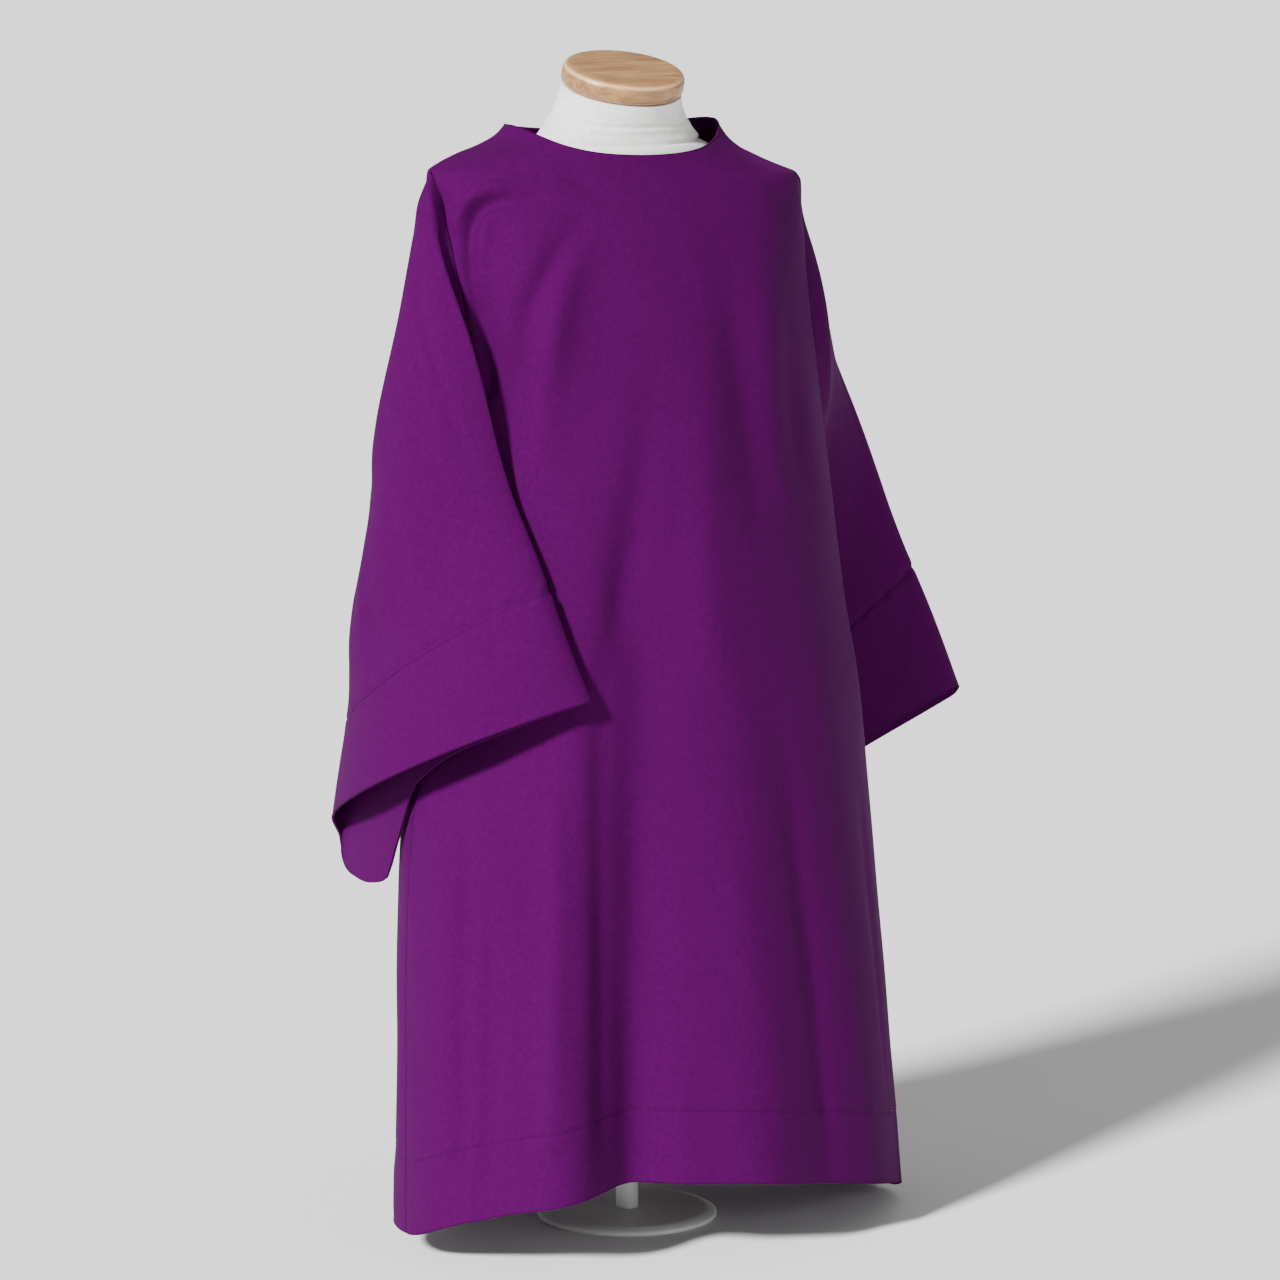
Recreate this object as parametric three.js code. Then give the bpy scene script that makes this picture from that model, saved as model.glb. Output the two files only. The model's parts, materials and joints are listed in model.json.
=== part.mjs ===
// A dalmatic on a limbless dress form, in millimetres: +Z up, the front faces -Y,
// the wearer's right is -X. The origin is on the floor under the middle of the stand.
import * as THREE from "three";

// ---- Cloth
const CLOTH = 1.8; // wall thickness
const LAYER = 0.4; // gap between a panel and the turn-up or facing inside it
const SEAM_ANGLE = 0.11; // degrees each panel stops short of a side or shoulder seam

// ---- Garment sizes
const UNDERARM_Z = 860; // bottom of the armholes
const SHOULDER_RIGHT_Z = 1172; // tops of the armholes, where the shoulder seams end
const SHOULDER_LEFT_Z = 1158;
const ARMHOLE_OPEN = 23; // degrees that each armhole edge stands back from the side
const NECK_Z = 1218; // crest of the neck edge at its two sides
const NECK_DROP_FRONT = 32; // how far the neck edge dips at centre front
const NECK_DROP_BACK = 12;
const HEM_Z = 8; // the hem is lowest at the side seams
const HEM_TURN_UP_ROWS = 2; // the hem turns up as far as this row of the panels, about 82 mm
const FACING_ROWS = 4; // the neck facing covers this many rows, about 36 mm
const CUFF_TURN_UP = 0.17; // share of the sleeve's length, about 100 mm

// The body, a row for each height: how far the cloth stands out to the wearer's right and
// left, the Y of its front and back, and the Y where its side seams hang.
const BODY = [
  { z: 8, right: 300, left: 313, front: -252, back: 160, side: -45 },
  { z: 100, right: 298, left: 306, front: -244, back: 157, side: -42 },
  { z: 200, right: 295, left: 298, front: -235, back: 152, side: -38 },
  { z: 320, right: 290, left: 291, front: -222, back: 148, side: -30 },
  { z: 460, right: 280, left: 282, front: -205, back: 142, side: -22 },
  { z: 600, right: 264, left: 270, front: -190, back: 138, side: -16 },
  { z: 700, right: 249, left: 254, front: -176, back: 133, side: -12 },
  { z: 800, right: 236, left: 243, front: -163, back: 129, side: -8 },
  { z: 890, right: 230, left: 232, front: -152, back: 127, side: -4 },
  { z: 956, right: 230, left: 226, front: -144, back: 126, side: -1 },
  { z: 1010, right: 240, left: 221, front: -135, back: 124, side: 2 },
  { z: 1065, right: 246, left: 217, front: -120, back: 121, side: 4 },
  { z: 1110, right: 241, left: 217, front: -104, back: 116, side: 8 },
  { z: 1148, right: 234, left: 219, front: -84, back: 108, side: 10 },
  { z: 1158, right: 234, left: 214, front: -78, back: 105, side: 12 },
  { z: 1165, right: 233, left: 197, front: -73, back: 103, side: 14 },
  { z: 1172, right: 231, left: 178, front: -69, back: 101, side: 16 },
  { z: 1180, right: 217, left: 160, front: -65, back: 98, side: 18 },
  { z: 1188, right: 196, left: 145, front: -62, back: 96, side: 21 },
  { z: 1196, right: 168, left: 136, front: -59, back: 93, side: 24 },
  { z: 1207, right: 143, left: 128, front: -55, back: 90, side: 27 },
  { z: 1218, right: 130, left: 122, front: -52, back: 87, side: 29 },
];

// A straight-cut hem lifts between the flared sides: an angle from centre front, and the rise.
const HEM_RISE = [
  { at: -180, rise: 46 },
  { at: -135, rise: 34 },
  { at: -90, rise: 20 },
  { at: -66, rise: 46 },
  { at: -45, rise: 68 },
  { at: -20, rise: 84 },
  { at: 0, rise: 82 },
  { at: 22, rise: 66 },
  { at: 45, rise: 44 },
  { at: 70, rise: 18 },
  { at: 90, rise: 0 },
  { at: 135, rise: 32 },
  { at: 180, rise: 46 },
];

// The largest folds of the body. "at" is the angle round the body at the hem and "atTop" where
// the fold runs out, in degrees from centre front towards the wearer's left. "out" is its
// height at the hem (a trough is negative) and "outTop" at its top; "width" is in degrees.
const FOLDS = [
  { at: -31, atTop: -23, out: -34, outTop: -8, width: 8, top: 690 },
  { at: -52, atTop: -44, out: 14, outTop: 4, width: 11, top: 560 },
  { at: -6, atTop: -4, out: 20, outTop: 5, width: 10, top: 800 },
  { at: 19, atTop: 14, out: -16, outTop: -5, width: 9, top: 760 },
  { at: 40, atTop: 34, out: 14, outTop: 4, width: 10, top: 640 },
  { at: 64, atTop: 62, out: -5, outTop: -1, width: 8, top: 420 },
  { at: 112, atTop: 116, out: 14, outTop: 3, width: 11, top: 560 },
  { at: 136, atTop: 140, out: -20, outTop: -4, width: 9, top: 640 },
  { at: 160, atTop: 162, out: 16, outTop: 5, width: 10, top: 760 },
  { at: 187, atTop: 184, out: -15, outTop: -4, width: 9, top: 820 },
  { at: 212, atTop: 206, out: 15, outTop: 4, width: 11, top: 700 },
  { at: 240, atTop: 236, out: -18, outTop: -3, width: 10, top: 560 },
];

// Shapes of the chest and of the body under the sleeves: a centre (angle, height), its
// spread in degrees and in height, and how far it stands out.
const SWELLS = [
  { at: -42, z: 1030, spreadAt: 12, spreadZ: 95, out: 9 },
  { at: -58, z: 1000, spreadAt: 5, spreadZ: 90, out: -7 },
  { at: -26, z: 985, spreadAt: 8, spreadZ: 120, out: -9 },
  { at: 30, z: 1000, spreadAt: 10, spreadZ: 110, out: 6 },
  { at: -72, z: 620, spreadAt: 24, spreadZ: 95, out: -30 },
  { at: 118, z: 600, spreadAt: 24, spreadZ: 130, out: -14 },
];

// The sleeves, a row for each section from just outside the armhole to the cuff: "t" is the
// pressed top fold, "u" the underarm seam, "o" how far the layer behind stands out from the
// line between them, and "i" how far the layer in front does.
const SLEEVE_RIGHT = [
  { tx: -249, ty: -5, tz: 1148, ux: -243, uy: 10, uz: 880, ox: -6, oy: 1, ix: 6, iy: -32 },
  { tx: -260, ty: -28, tz: 1104, ux: -270, uy: 27, uz: 853, ox: -15, oy: 4, ix: 17, iy: -29 },
  { tx: -247, ty: -66, tz: 1026, ux: -279, uy: 40, uz: 816, ox: -33, oy: 11, ix: 20, iy: -24 },
  { tx: -230, ty: -86, tz: 952, ux: -268, uy: 55, uz: 771, ox: -43, oy: 8, ix: 13, iy: -19 },
  { tx: -204, ty: -98, tz: 842, ux: -297, uy: 64, uz: 658, ox: -58, oy: 3, ix: -13, iy: -4 },
  { tx: -182, ty: -129, tz: 776, ux: -281, uy: 93, uz: 599, ox: -60, oy: -13, ix: -33, iy: -8 },
  { tx: -164, ty: -155, tz: 693, ux: -292, uy: 111, uz: 523, ox: -72, oy: -28, ix: -48, iy: -15 },
  { tx: -142, ty: -178, tz: 620, ux: -302, uy: 109, uz: 465, ox: -81, oy: -29, ix: -52, iy: -14 },
];
const SLEEVE_LEFT = [
  { tx: 220, ty: 21, tz: 1122, ux: 244, uy: 2, uz: 869, ox: 6, oy: 14, ix: -2, iy: -49 },
  { tx: 248, ty: 30, tz: 1048, ux: 251, uy: 27, uz: 843, ox: 5, oy: 33, ix: 2, iy: -37 },
  { tx: 273, ty: 36, tz: 961, ux: 246, uy: 54, uz: 783, ox: 11, oy: 41, ix: 14, iy: -27 },
  { tx: 307, ty: 44, tz: 909, ux: 245, uy: 78, uz: 718, ox: 17, oy: 38, ix: 0, iy: -27 },
  { tx: 342, ty: 45, tz: 831, ux: 234, uy: 102, uz: 651, ox: 10, oy: 36, ix: -2, iy: -17 },
  { tx: 380, ty: 50, tz: 738, ux: 214, uy: 124, uz: 560, ox: 14, oy: 34, ix: 0, iy: -9 },
  { tx: 425, ty: 52, tz: 654, ux: 190, uy: 145, uz: 469, ox: 18, oy: 28, ix: 0, iy: -10 },
  { tx: 464, ty: 49, tz: 555, ux: 168, uy: 165, uz: 377, ox: 22, oy: 24, ix: -15, iy: -11 },
];
const FOLD_RADIUS = 7; // the pressed folds are this soft
const BOW = 1.7; // how evenly the sections bow: 1 is a half circle, 2 a parabola
// How far the cuff sags: degrees round it (0 is its top fold, 180 the underarm), and the sag.
const SAG_RIGHT = [
  { turn: 0, sag: 0 }, { turn: 130, sag: 0 }, { turn: 152, sag: 2 }, { turn: 166, sag: 7 },
  { turn: 180, sag: 20 }, { turn: 194, sag: 45 }, { turn: 208, sag: 66 }, { turn: 222, sag: 82 },
  { turn: 235, sag: 97 }, { turn: 247, sag: 104 }, { turn: 256, sag: 60 }, { turn: 265, sag: 14 },
  { turn: 285, sag: 0 }, { turn: 360, sag: 0 },
];
const SAG_LEFT = [
  { turn: 0, sag: 0 }, { turn: 150, sag: 0 }, { turn: 180, sag: 4 }, { turn: 208, sag: 15 },
  { turn: 228, sag: 20 }, { turn: 248, sag: 15 }, { turn: 276, sag: 4 }, { turn: 310, sag: 0 },
  { turn: 360, sag: 0 },
];

// ---- Dress form and stand, a row for each height
const FORM = [
  { z: 420, half: 146, front: -90, back: 92 },
  { z: 428, half: 156, front: -98, back: 100 },
  { z: 520, half: 171, front: -108, back: 112 },
  { z: 600, half: 173, front: -111, back: 116 },
  { z: 700, half: 150, front: -100, back: 100 },
  { z: 780, half: 132, front: -92, back: 88 },
  { z: 860, half: 140, front: -104, back: 92 },
  { z: 940, half: 157, front: -120, back: 100 },
  { z: 1000, half: 164, front: -120, back: 106 },
  { z: 1060, half: 172, front: -101, back: 106 },
  { z: 1100, half: 182, front: -84, back: 100 },
  { z: 1128, half: 188, front: -69, back: 94 },
  { z: 1144, half: 184, front: -60, back: 90 },
  { z: 1156, half: 168, front: -54, back: 88 },
  { z: 1166, half: 148, front: -51, back: 86 },
  { z: 1178, half: 128, front: -47, back: 84 },
  { z: 1192, half: 108, front: -44, back: 82 },
];
// The neck above it leans forward: height and Y of each section's middle, its half width
// and half depth, and its tilt in degrees.
const NECK = [
  { z: 1204, y: 20, half: 95, deep: 61, tilt: 4 },
  { z: 1216, y: 19, half: 85, deep: 60, tilt: 8 },
  { z: 1230, y: 16.5, half: 76, deep: 60, tilt: 13 },
  { z: 1243, y: 14, half: 70, deep: 61, tilt: 17 },
  { z: 1255, y: 11.5, half: 67, deep: 61.5, tilt: 17 },
];
// The wooden cap: height above its seat and how much wider it is than the neck's top.
const CAP = [
  { up: 0.4, wider: -3 },
  { up: 2.4, wider: -0.4 },
  { up: 7, wider: 1.4 },
  { up: 16, wider: 1.2 },
  { up: 20.5, wider: -0.6 },
  { up: 23, wider: -4 },
  { up: 24, wider: -10 },
];
const POLE_RADIUS = 12.5;
const BASE_RADIUS = 100;
const BASE_THICKNESS = 8;

// ---- Grid densities
const BODY_COLUMNS = 26;
const BODY_ROWS_LOW = [8, 48, 90, 140, 200, 265, 335, 405, 475, 545, 615, 680, 740, 790, 830, 852];
const ARMHOLE_ROWS = [868, 884, 908, 938, 972, 1008, 1044, 1078, 1106, 1130, 1148, 1160];
const BODY_ROWS_HIGH = [1172, 1180, 1188, 1197, 1207, 1218];
const SLEEVE_RINGS = 16;
const FORM_COLUMNS = 28;

const RAD = Math.PI / 180;

// A value of a table's column at z, by a curve through its rows that never overshoots them.
function column(rows, key, at, value) {
  const last = rows.length - 1;
  if (value <= rows[0][at]) return rows[0][key];
  if (value >= rows[last][at]) return rows[last][key];
  let i = 0;
  while (value > rows[i + 1][at]) i += 1;
  const step = (k) => (rows[k + 1][key] - rows[k][key]) / (rows[k + 1][at] - rows[k][at]);
  const slope = (k) => {
    if (k === 0) return step(0);
    if (k === last) return step(last - 1);
    const before = step(k - 1);
    const after = step(k);
    return before * after <= 0 ? 0 : (2 * before * after) / (before + after);
  };
  const width = rows[i + 1][at] - rows[i][at];
  const s = (value - rows[i][at]) / width;
  const a = rows[i][key];
  const b = rows[i + 1][key];
  return (
    a * (1 + 2 * s) * (1 - s) ** 2 +
    b * (3 - 2 * s) * s ** 2 +
    width * s * (1 - s) * (slope(i) * (1 - s) - slope(i + 1) * s)
  );
}

const smooth = (a, b, x) => {
  const s = Math.min(1, Math.max(0, (x - a) / (b - a)));
  return s * s * (3 - 2 * s);
};
const bell = (x, width) => Math.exp(-((x / width) ** 2));
const apart = (a, b) => ((((a - b + 180) % 360) + 360) % 360) - 180;

// A point on the outside of the body: an angle in degrees from centre front, and a height.
function body(angle, z) {
  const get = (key) => column(BODY, key, "z", z);
  const s = Math.sin(angle * RAD);
  const c = Math.cos(angle * RAD);
  const right = get("right");
  const left = get("left");
  const side = get("side");
  const front = side - get("front");
  const back = get("back") - side;
  const wide = (left + right) / 2 + ((left - right) / 2) * s;
  const deep = (front + back) / 2 + ((front - back) / 2) * c;
  let out = 0;
  for (const f of FOLDS) {
    const up = smooth(HEM_Z, f.top, z);
    const at = f.at + (f.atTop - f.at) * up;
    const high = f.out + (f.outTop - f.out) * up;
    out += high * (1 - smooth(f.top - 60, f.top + 190, z)) * bell(apart(angle, at), f.width);
  }
  for (const w of SWELLS) {
    out += w.out * bell(apart(angle, w.at), w.spreadAt) * bell(z - w.z, w.spreadZ);
  }
  const nx = s / wide;
  const ny = -c / deep;
  const n = Math.hypot(nx, ny);
  return new THREE.Vector3(wide * s + (out * nx) / n, side - deep * c + (out * ny) / n, z);
}

// How far an armhole's edge stands back from the side, in degrees.
function armholeGap(z, side) {
  const top = side < 0 ? SHOULDER_RIGHT_Z : SHOULDER_LEFT_Z;
  const t = (z - UNDERARM_Z) / (top - UNDERARM_Z);
  return t <= 0 || t >= 1 ? 0 : ARMHOLE_OPEN * Math.sin(Math.PI * t) ** 0.6;
}

// The height of a panel's row at an angle: the hem rises and the neck edge dips between the sides.
function rowHeight(z, angle) {
  const c = Math.cos(angle * RAD);
  const drop = c > 0 ? NECK_DROP_FRONT : NECK_DROP_BACK;
  const low = 1 - smooth(HEM_Z, 640, z);
  const high = smooth(1060, NECK_Z, z);
  return z + column(HEM_RISE, "rise", "at", apart(angle, 0)) * low - drop * c * c * high;
}

// The outward normal of the body's surface.
function bodyNormal(angle, z) {
  const across = body(angle + 0.8, z).sub(body(angle - 0.8, z));
  const up = body(angle, z + 1.5).sub(body(angle, z - 1.5));
  return across.cross(up).normalize();
}

// A panel's points and normals, from hem to neck edge and from its -90 to its +90 degree side.
function panelGrid(middle) {
  const rows = [...BODY_ROWS_LOW, ...ARMHOLE_ROWS, ...BODY_ROWS_HIGH];
  const points = [];
  const facing = [];
  for (const z of rows) {
    const p = [];
    const n = [];
    for (let j = 0; j <= BODY_COLUMNS; j += 1) {
      const u = (2 * j) / BODY_COLUMNS - 1;
      const side = Math.sign(u) * (middle === 0 ? 1 : -1);
      const reach = 90 - SEAM_ANGLE - armholeGap(z, side);
      const angle = middle + u * reach;
      const height = rowHeight(z, middle + u * 90);
      const atSeam = Math.abs(u) === 1 && armholeGap(z, side) === 0;
      p.push(body(angle, height));
      n.push(bodyNormal(atSeam ? middle + u * 90 : angle, height));
    }
    points.push(p);
    facing.push(n);
  }
  return [points, facing];
}

// Outward normals of a grid of points; "closed" joins its last column to its first.
function normals(grid, closed) {
  const rows = grid.length;
  const columns = grid[0].length;
  return grid.map((row, i) =>
    row.map((_, j) => {
      const before = closed ? (j + columns - 1) % columns : Math.max(j - 1, 0);
      const after = closed ? (j + 1) % columns : Math.min(j + 1, columns - 1);
      const across = row[after].clone().sub(row[before]);
      const up = grid[Math.min(i + 1, rows - 1)][j].clone().sub(grid[Math.max(i - 1, 0)][j]);
      return across.cross(up).normalize();
    }),
  );
}

const moved = (grid, n, by) => grid.map((row, i) => row.map((p, j) => p.clone().addScaledVector(n[i][j], by)));

// A closed solid from triangles of corner points.
function solid(name, triangles, look) {
  const geometry = new THREE.BufferGeometry();
  const flat = [];
  for (const corner of triangles) flat.push(corner.x, corner.y, corner.z);
  geometry.setAttribute("position", new THREE.Float32BufferAttribute(flat, 3));
  geometry.computeVertexNormals();
  const mesh = new THREE.Mesh(geometry, new THREE.MeshStandardMaterial(look));
  mesh.name = name;
  return mesh;
}

// A wall between an outer and an inner grid of points, closed along its open edges.
function wall(name, outer, inner, closed, look) {
  const out = [];
  const quad = (a, b, c, d) => out.push(a, b, c, a, c, d);
  const rows = outer.length;
  const columns = outer[0].length;
  const last = closed ? columns : columns - 1;
  for (let i = 0; i + 1 < rows; i += 1) {
    for (let j = 0; j < last; j += 1) {
      const k = (j + 1) % columns;
      quad(outer[i][j], outer[i][k], outer[i + 1][k], outer[i + 1][j]);
      quad(inner[i][j], inner[i + 1][j], inner[i + 1][k], inner[i][k]);
    }
  }
  for (let j = 0; j < last; j += 1) {
    const k = (j + 1) % columns;
    quad(outer[0][j], inner[0][j], inner[0][k], outer[0][k]);
    quad(outer[rows - 1][j], outer[rows - 1][k], inner[rows - 1][k], inner[rows - 1][j]);
  }
  for (let i = 0; !closed && i + 1 < rows; i += 1) {
    const e = columns - 1;
    quad(outer[i][0], outer[i + 1][0], inner[i + 1][0], inner[i][0]);
    quad(outer[i][e], inner[i][e], inner[i + 1][e], outer[i + 1][e]);
  }
  return solid(name, out, look);
}

// A closed solid through rings of equal length, with a flat fan at each end.
function loft(name, rings, look) {
  const out = [];
  const n = rings[0].length;
  const middle = (ring) => ring.reduce((sum, p) => sum.add(p), new THREE.Vector3()).divideScalar(n);
  for (let i = 0; i + 1 < rings.length; i += 1) {
    for (let j = 0; j < n; j += 1) {
      const k = (j + 1) % n;
      out.push(rings[i][j], rings[i][k], rings[i + 1][k]);
      out.push(rings[i][j], rings[i + 1][k], rings[i + 1][j]);
    }
  }
  const ends = [rings[0], rings[rings.length - 1]];
  const centres = ends.map(middle);
  for (let j = 0; j < n; j += 1) {
    const k = (j + 1) % n;
    out.push(ends[0][k], ends[0][j], centres[0]);
    out.push(ends[1][j], ends[1][k], centres[1]);
  }
  return solid(name, out, look);
}

const VIOLET = { color: 0x5a0462, roughness: 0.72, metalness: 0, side: THREE.DoubleSide };
const JERSEY = { color: 0xe9e7e2, roughness: 0.9, metalness: 0 };
const WOOD = { color: 0xc08a4e, roughness: 0.5, metalness: 0 };
const PAINT = { color: 0xe6e6e4, roughness: 0.45, metalness: 0.1 };

const group = new THREE.Group();
group.name = "dalmatic_on_dress_form";

// ---- Body panels, with the facing of the neck and the turn-up of the hem inside them
const facingOuter = [];
const facingInner = [];
const hemOuter = [];
const hemInner = [];
for (const [name, middle] of [["front_panel", 0], ["back_panel", 180]]) {
  const [outer, n] = panelGrid(middle);
  group.add(wall(name, outer, moved(outer, n, -CLOTH), false, VIOLET));
  const facingRow = outer.length - FACING_ROWS;
  const hemRow = HEM_TURN_UP_ROWS;
  const a = CLOTH + LAYER;
  const b = a + CLOTH;
  const keep = (from, to, by) => moved(outer.slice(from, to), n.slice(from, to), -by).map((row) => row.slice(1, -1));
  facingOuter.push(keep(facingRow, outer.length, a));
  facingInner.push(keep(facingRow, outer.length, b));
  hemOuter.push(keep(0, hemRow + 1, a));
  hemInner.push(keep(0, hemRow + 1, b));
}
const joined = ([front, back]) => front.map((row, i) => [...row, ...back[i]]);
group.add(wall("neck_facing", joined(facingOuter), joined(facingInner), true, VIOLET));
group.add(wall("skirt_hem", joined(hemOuter), joined(hemInner), true, VIOLET));

// ---- Sleeves
// The ring where a sleeve is sewn on, down the back edge of the armhole and up its front edge,
// with the normals of the body there so both walls lie flush across the seam.
function armholeRing(side) {
  const top = side < 0 ? SHOULDER_RIGHT_Z : SHOULDER_LEFT_Z;
  const up = ARMHOLE_ROWS.filter((z) => z < top);
  const down = [...up].reverse();
  const ring = [];
  const facing = [];
  const add = (z, turn, gap) => {
    ring.push(body(side * (90 + turn * Math.max(gap - 2 * SEAM_ANGLE, 0)), z));
    facing.push(bodyNormal(side * (90 + turn * gap), z));
  };
  add(top - 1.5, 1, 0);
  for (const z of down) add(z, 1, armholeGap(z, side));
  add(UNDERARM_Z + 1.5, 1, 0);
  for (const z of up) add(z, -1, armholeGap(z, side));
  return [ring, facing];
}

function sleeveSection(rows, share, count, sags) {
  const table = rows.map((row, i) => ({ ...row, at: (i + 1) / rows.length }));
  const get = (key) => column(table, key, "at", share);
  const top = new THREE.Vector3(get("tx"), get("ty"), get("tz"));
  const under = new THREE.Vector3(get("ux"), get("uy"), get("uz"));
  const behind = new THREE.Vector3(get("ox"), get("oy"), 0);
  const before = new THREE.Vector3(get("ix"), get("iy"), 0);
  const bow = behind.clone().add(before).multiplyScalar(0.5);
  const open = behind.clone().sub(before).multiplyScalar(0.5);
  const half = open.length();
  open.normalize();
  const ring = [];
  for (let k = 0; k < count; k += 1) {
    const phi = (2 * Math.PI * k) / count;
    const s = Math.sin(phi);
    const point = top.clone().lerp(under, (1 - Math.cos(phi)) / 2);
    point.addScaledVector(bow, Math.abs(s) ** BOW);
    const thick = FOLD_RADIUS * (1 - (1 - Math.abs(s)) ** 6) + half * Math.abs(s) ** 1.2;
    point.addScaledVector(open, Math.sign(s) * thick);
    point.z -= column(sags, "sag", "turn", phi / RAD) * share ** 3;
    ring.push(point);
  }
  return ring;
}

function sleevePoints(first, rows, sags) {
  const grid = [first];
  for (let i = 1; i <= SLEEVE_RINGS; i += 1) {
    const share = 1 / rows.length + (1 - 1 / rows.length) * ((i - 1) / (SLEEVE_RINGS - 1));
    grid.push(sleeveSection(rows, share, first.length, sags));
  }
  return grid;
}

for (const [word, side, rows, sags] of [
  ["right", -1, SLEEVE_RIGHT, SAG_RIGHT],
  ["left", 1, SLEEVE_LEFT, SAG_LEFT],
]) {
  const [first, firstNormals] = armholeRing(side);
  let outer = sleevePoints(first, rows, sags);
  let seamNormals = firstNormals;
  if (side > 0) {
    outer = outer.map((row) => [row[0], ...row.slice(1).reverse()]);
    seamNormals = [seamNormals[0], ...seamNormals.slice(1).reverse()];
  }
  const n = normals(outer, true);
  n[0] = seamNormals;
  group.add(wall("sleeve_" + word, outer, moved(outer, n, -CLOTH), true, VIOLET));
  const start = Math.round(SLEEVE_RINGS * (1 - CUFF_TURN_UP));
  const band = (by) => moved(outer.slice(start), n.slice(start), -by);
  group.add(wall("cuff_hem_" + word, band(CLOTH + LAYER), band(2 * CLOTH + LAYER), true, VIOLET));
}

// ---- Dress form
const formRings = FORM.map((row) => {
  const ring = [];
  const mid = (row.front + row.back) / 2;
  for (let j = 0; j < FORM_COLUMNS; j += 1) {
    const a = (2 * Math.PI * j) / FORM_COLUMNS;
    ring.push(new THREE.Vector3(row.half * Math.cos(a), mid + ((row.back - row.front) / 2) * Math.sin(a), row.z));
  }
  return ring;
});
function leaningRing(row, up, wider) {
  const ring = [];
  const tilt = row.tilt * RAD;
  const y = row.y - up * Math.sin(tilt);
  const z = row.z + up * Math.cos(tilt);
  for (let j = 0; j < FORM_COLUMNS; j += 1) {
    const a = (2 * Math.PI * j) / FORM_COLUMNS;
    const d = (row.deep + wider) * Math.sin(a);
    ring.push(new THREE.Vector3((row.half + wider) * Math.cos(a), y + d * Math.cos(tilt), z + d * Math.sin(tilt)));
  }
  return ring;
}
group.add(loft("form_body", [...formRings, ...NECK.map((row) => leaningRing(row, 0, 0))], JERSEY));
const neckTop = NECK[NECK.length - 1];
group.add(loft("neck_cap", CAP.map((row) => leaningRing(neckTop, row.up, row.wider)), WOOD));

// ---- Stand
function turned(name, profile, look) {
  const shape = profile.map(([r, z]) => new THREE.Vector2(r, z));
  const geometry = new THREE.LatheGeometry([...shape, shape[0]], 32);
  geometry.rotateX(Math.PI / 2);
  const mesh = new THREE.Mesh(geometry, new THREE.MeshStandardMaterial(look));
  mesh.name = name;
  return mesh;
}
group.add(turned("stand_pole", [[0, BASE_THICKNESS + 0.3], [POLE_RADIUS, BASE_THICKNESS + 0.3],
  [POLE_RADIUS, FORM[0].z - 0.3], [0, FORM[0].z - 0.3]], PAINT));
group.add(turned("stand_base", [[0, 0], [BASE_RADIUS - 1.5, 0], [BASE_RADIUS, 1.5],
  [BASE_RADIUS, BASE_THICKNESS - 5], [BASE_RADIUS - 3, BASE_THICKNESS - 2.5],
  [BASE_RADIUS - 12, BASE_THICKNESS], [0, BASE_THICKNESS]], PAINT));

export default group;
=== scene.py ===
# %% [markdown]
# # A dalmatic on a dress form
# A dalmatic is a wide-sleeved church vestment, worn open at the neck and cut straight and
# plain. This lesson dresses a imported CAD part in Blender: the CAD solids give the frame, and
# here each one gets a finer sheet of cloth, with its creases, its stitching and its weave.
# The first cell loads the frame and keeps its size.

# %% Load the frame
import json
import math
import bpy
import numpy as np
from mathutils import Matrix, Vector

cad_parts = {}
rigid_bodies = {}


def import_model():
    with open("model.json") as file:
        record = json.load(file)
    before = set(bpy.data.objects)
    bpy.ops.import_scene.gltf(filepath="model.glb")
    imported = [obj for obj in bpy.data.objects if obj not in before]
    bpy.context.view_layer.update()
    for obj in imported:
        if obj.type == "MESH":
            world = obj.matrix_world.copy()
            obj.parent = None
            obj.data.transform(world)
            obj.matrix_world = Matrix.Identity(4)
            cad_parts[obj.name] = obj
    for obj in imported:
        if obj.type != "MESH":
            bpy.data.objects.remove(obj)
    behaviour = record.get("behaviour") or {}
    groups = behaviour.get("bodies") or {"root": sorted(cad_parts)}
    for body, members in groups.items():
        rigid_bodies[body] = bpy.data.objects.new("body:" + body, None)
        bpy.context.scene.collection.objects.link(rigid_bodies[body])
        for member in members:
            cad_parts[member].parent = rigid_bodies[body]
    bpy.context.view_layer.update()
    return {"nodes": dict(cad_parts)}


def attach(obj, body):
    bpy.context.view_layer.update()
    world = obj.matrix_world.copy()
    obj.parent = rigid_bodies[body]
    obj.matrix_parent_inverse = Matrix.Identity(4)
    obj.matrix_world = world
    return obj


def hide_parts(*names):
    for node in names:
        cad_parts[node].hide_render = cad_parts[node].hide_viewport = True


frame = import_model()
print("nodes:", sorted(frame["nodes"]))

# %% [markdown]
# ## How the garment hangs
# A real dalmatic is two flared panels, sewn at the shoulders and sides, with two wide sleeves.
# Worn on a form it becomes a tube whose outline is measured at a few heights. The table has a
# row for each height: how far the cloth reaches to each side, the depth of its front and back,
# and where its side seams hang. All of it is in millimetres, with the front towards -Y.

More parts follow.
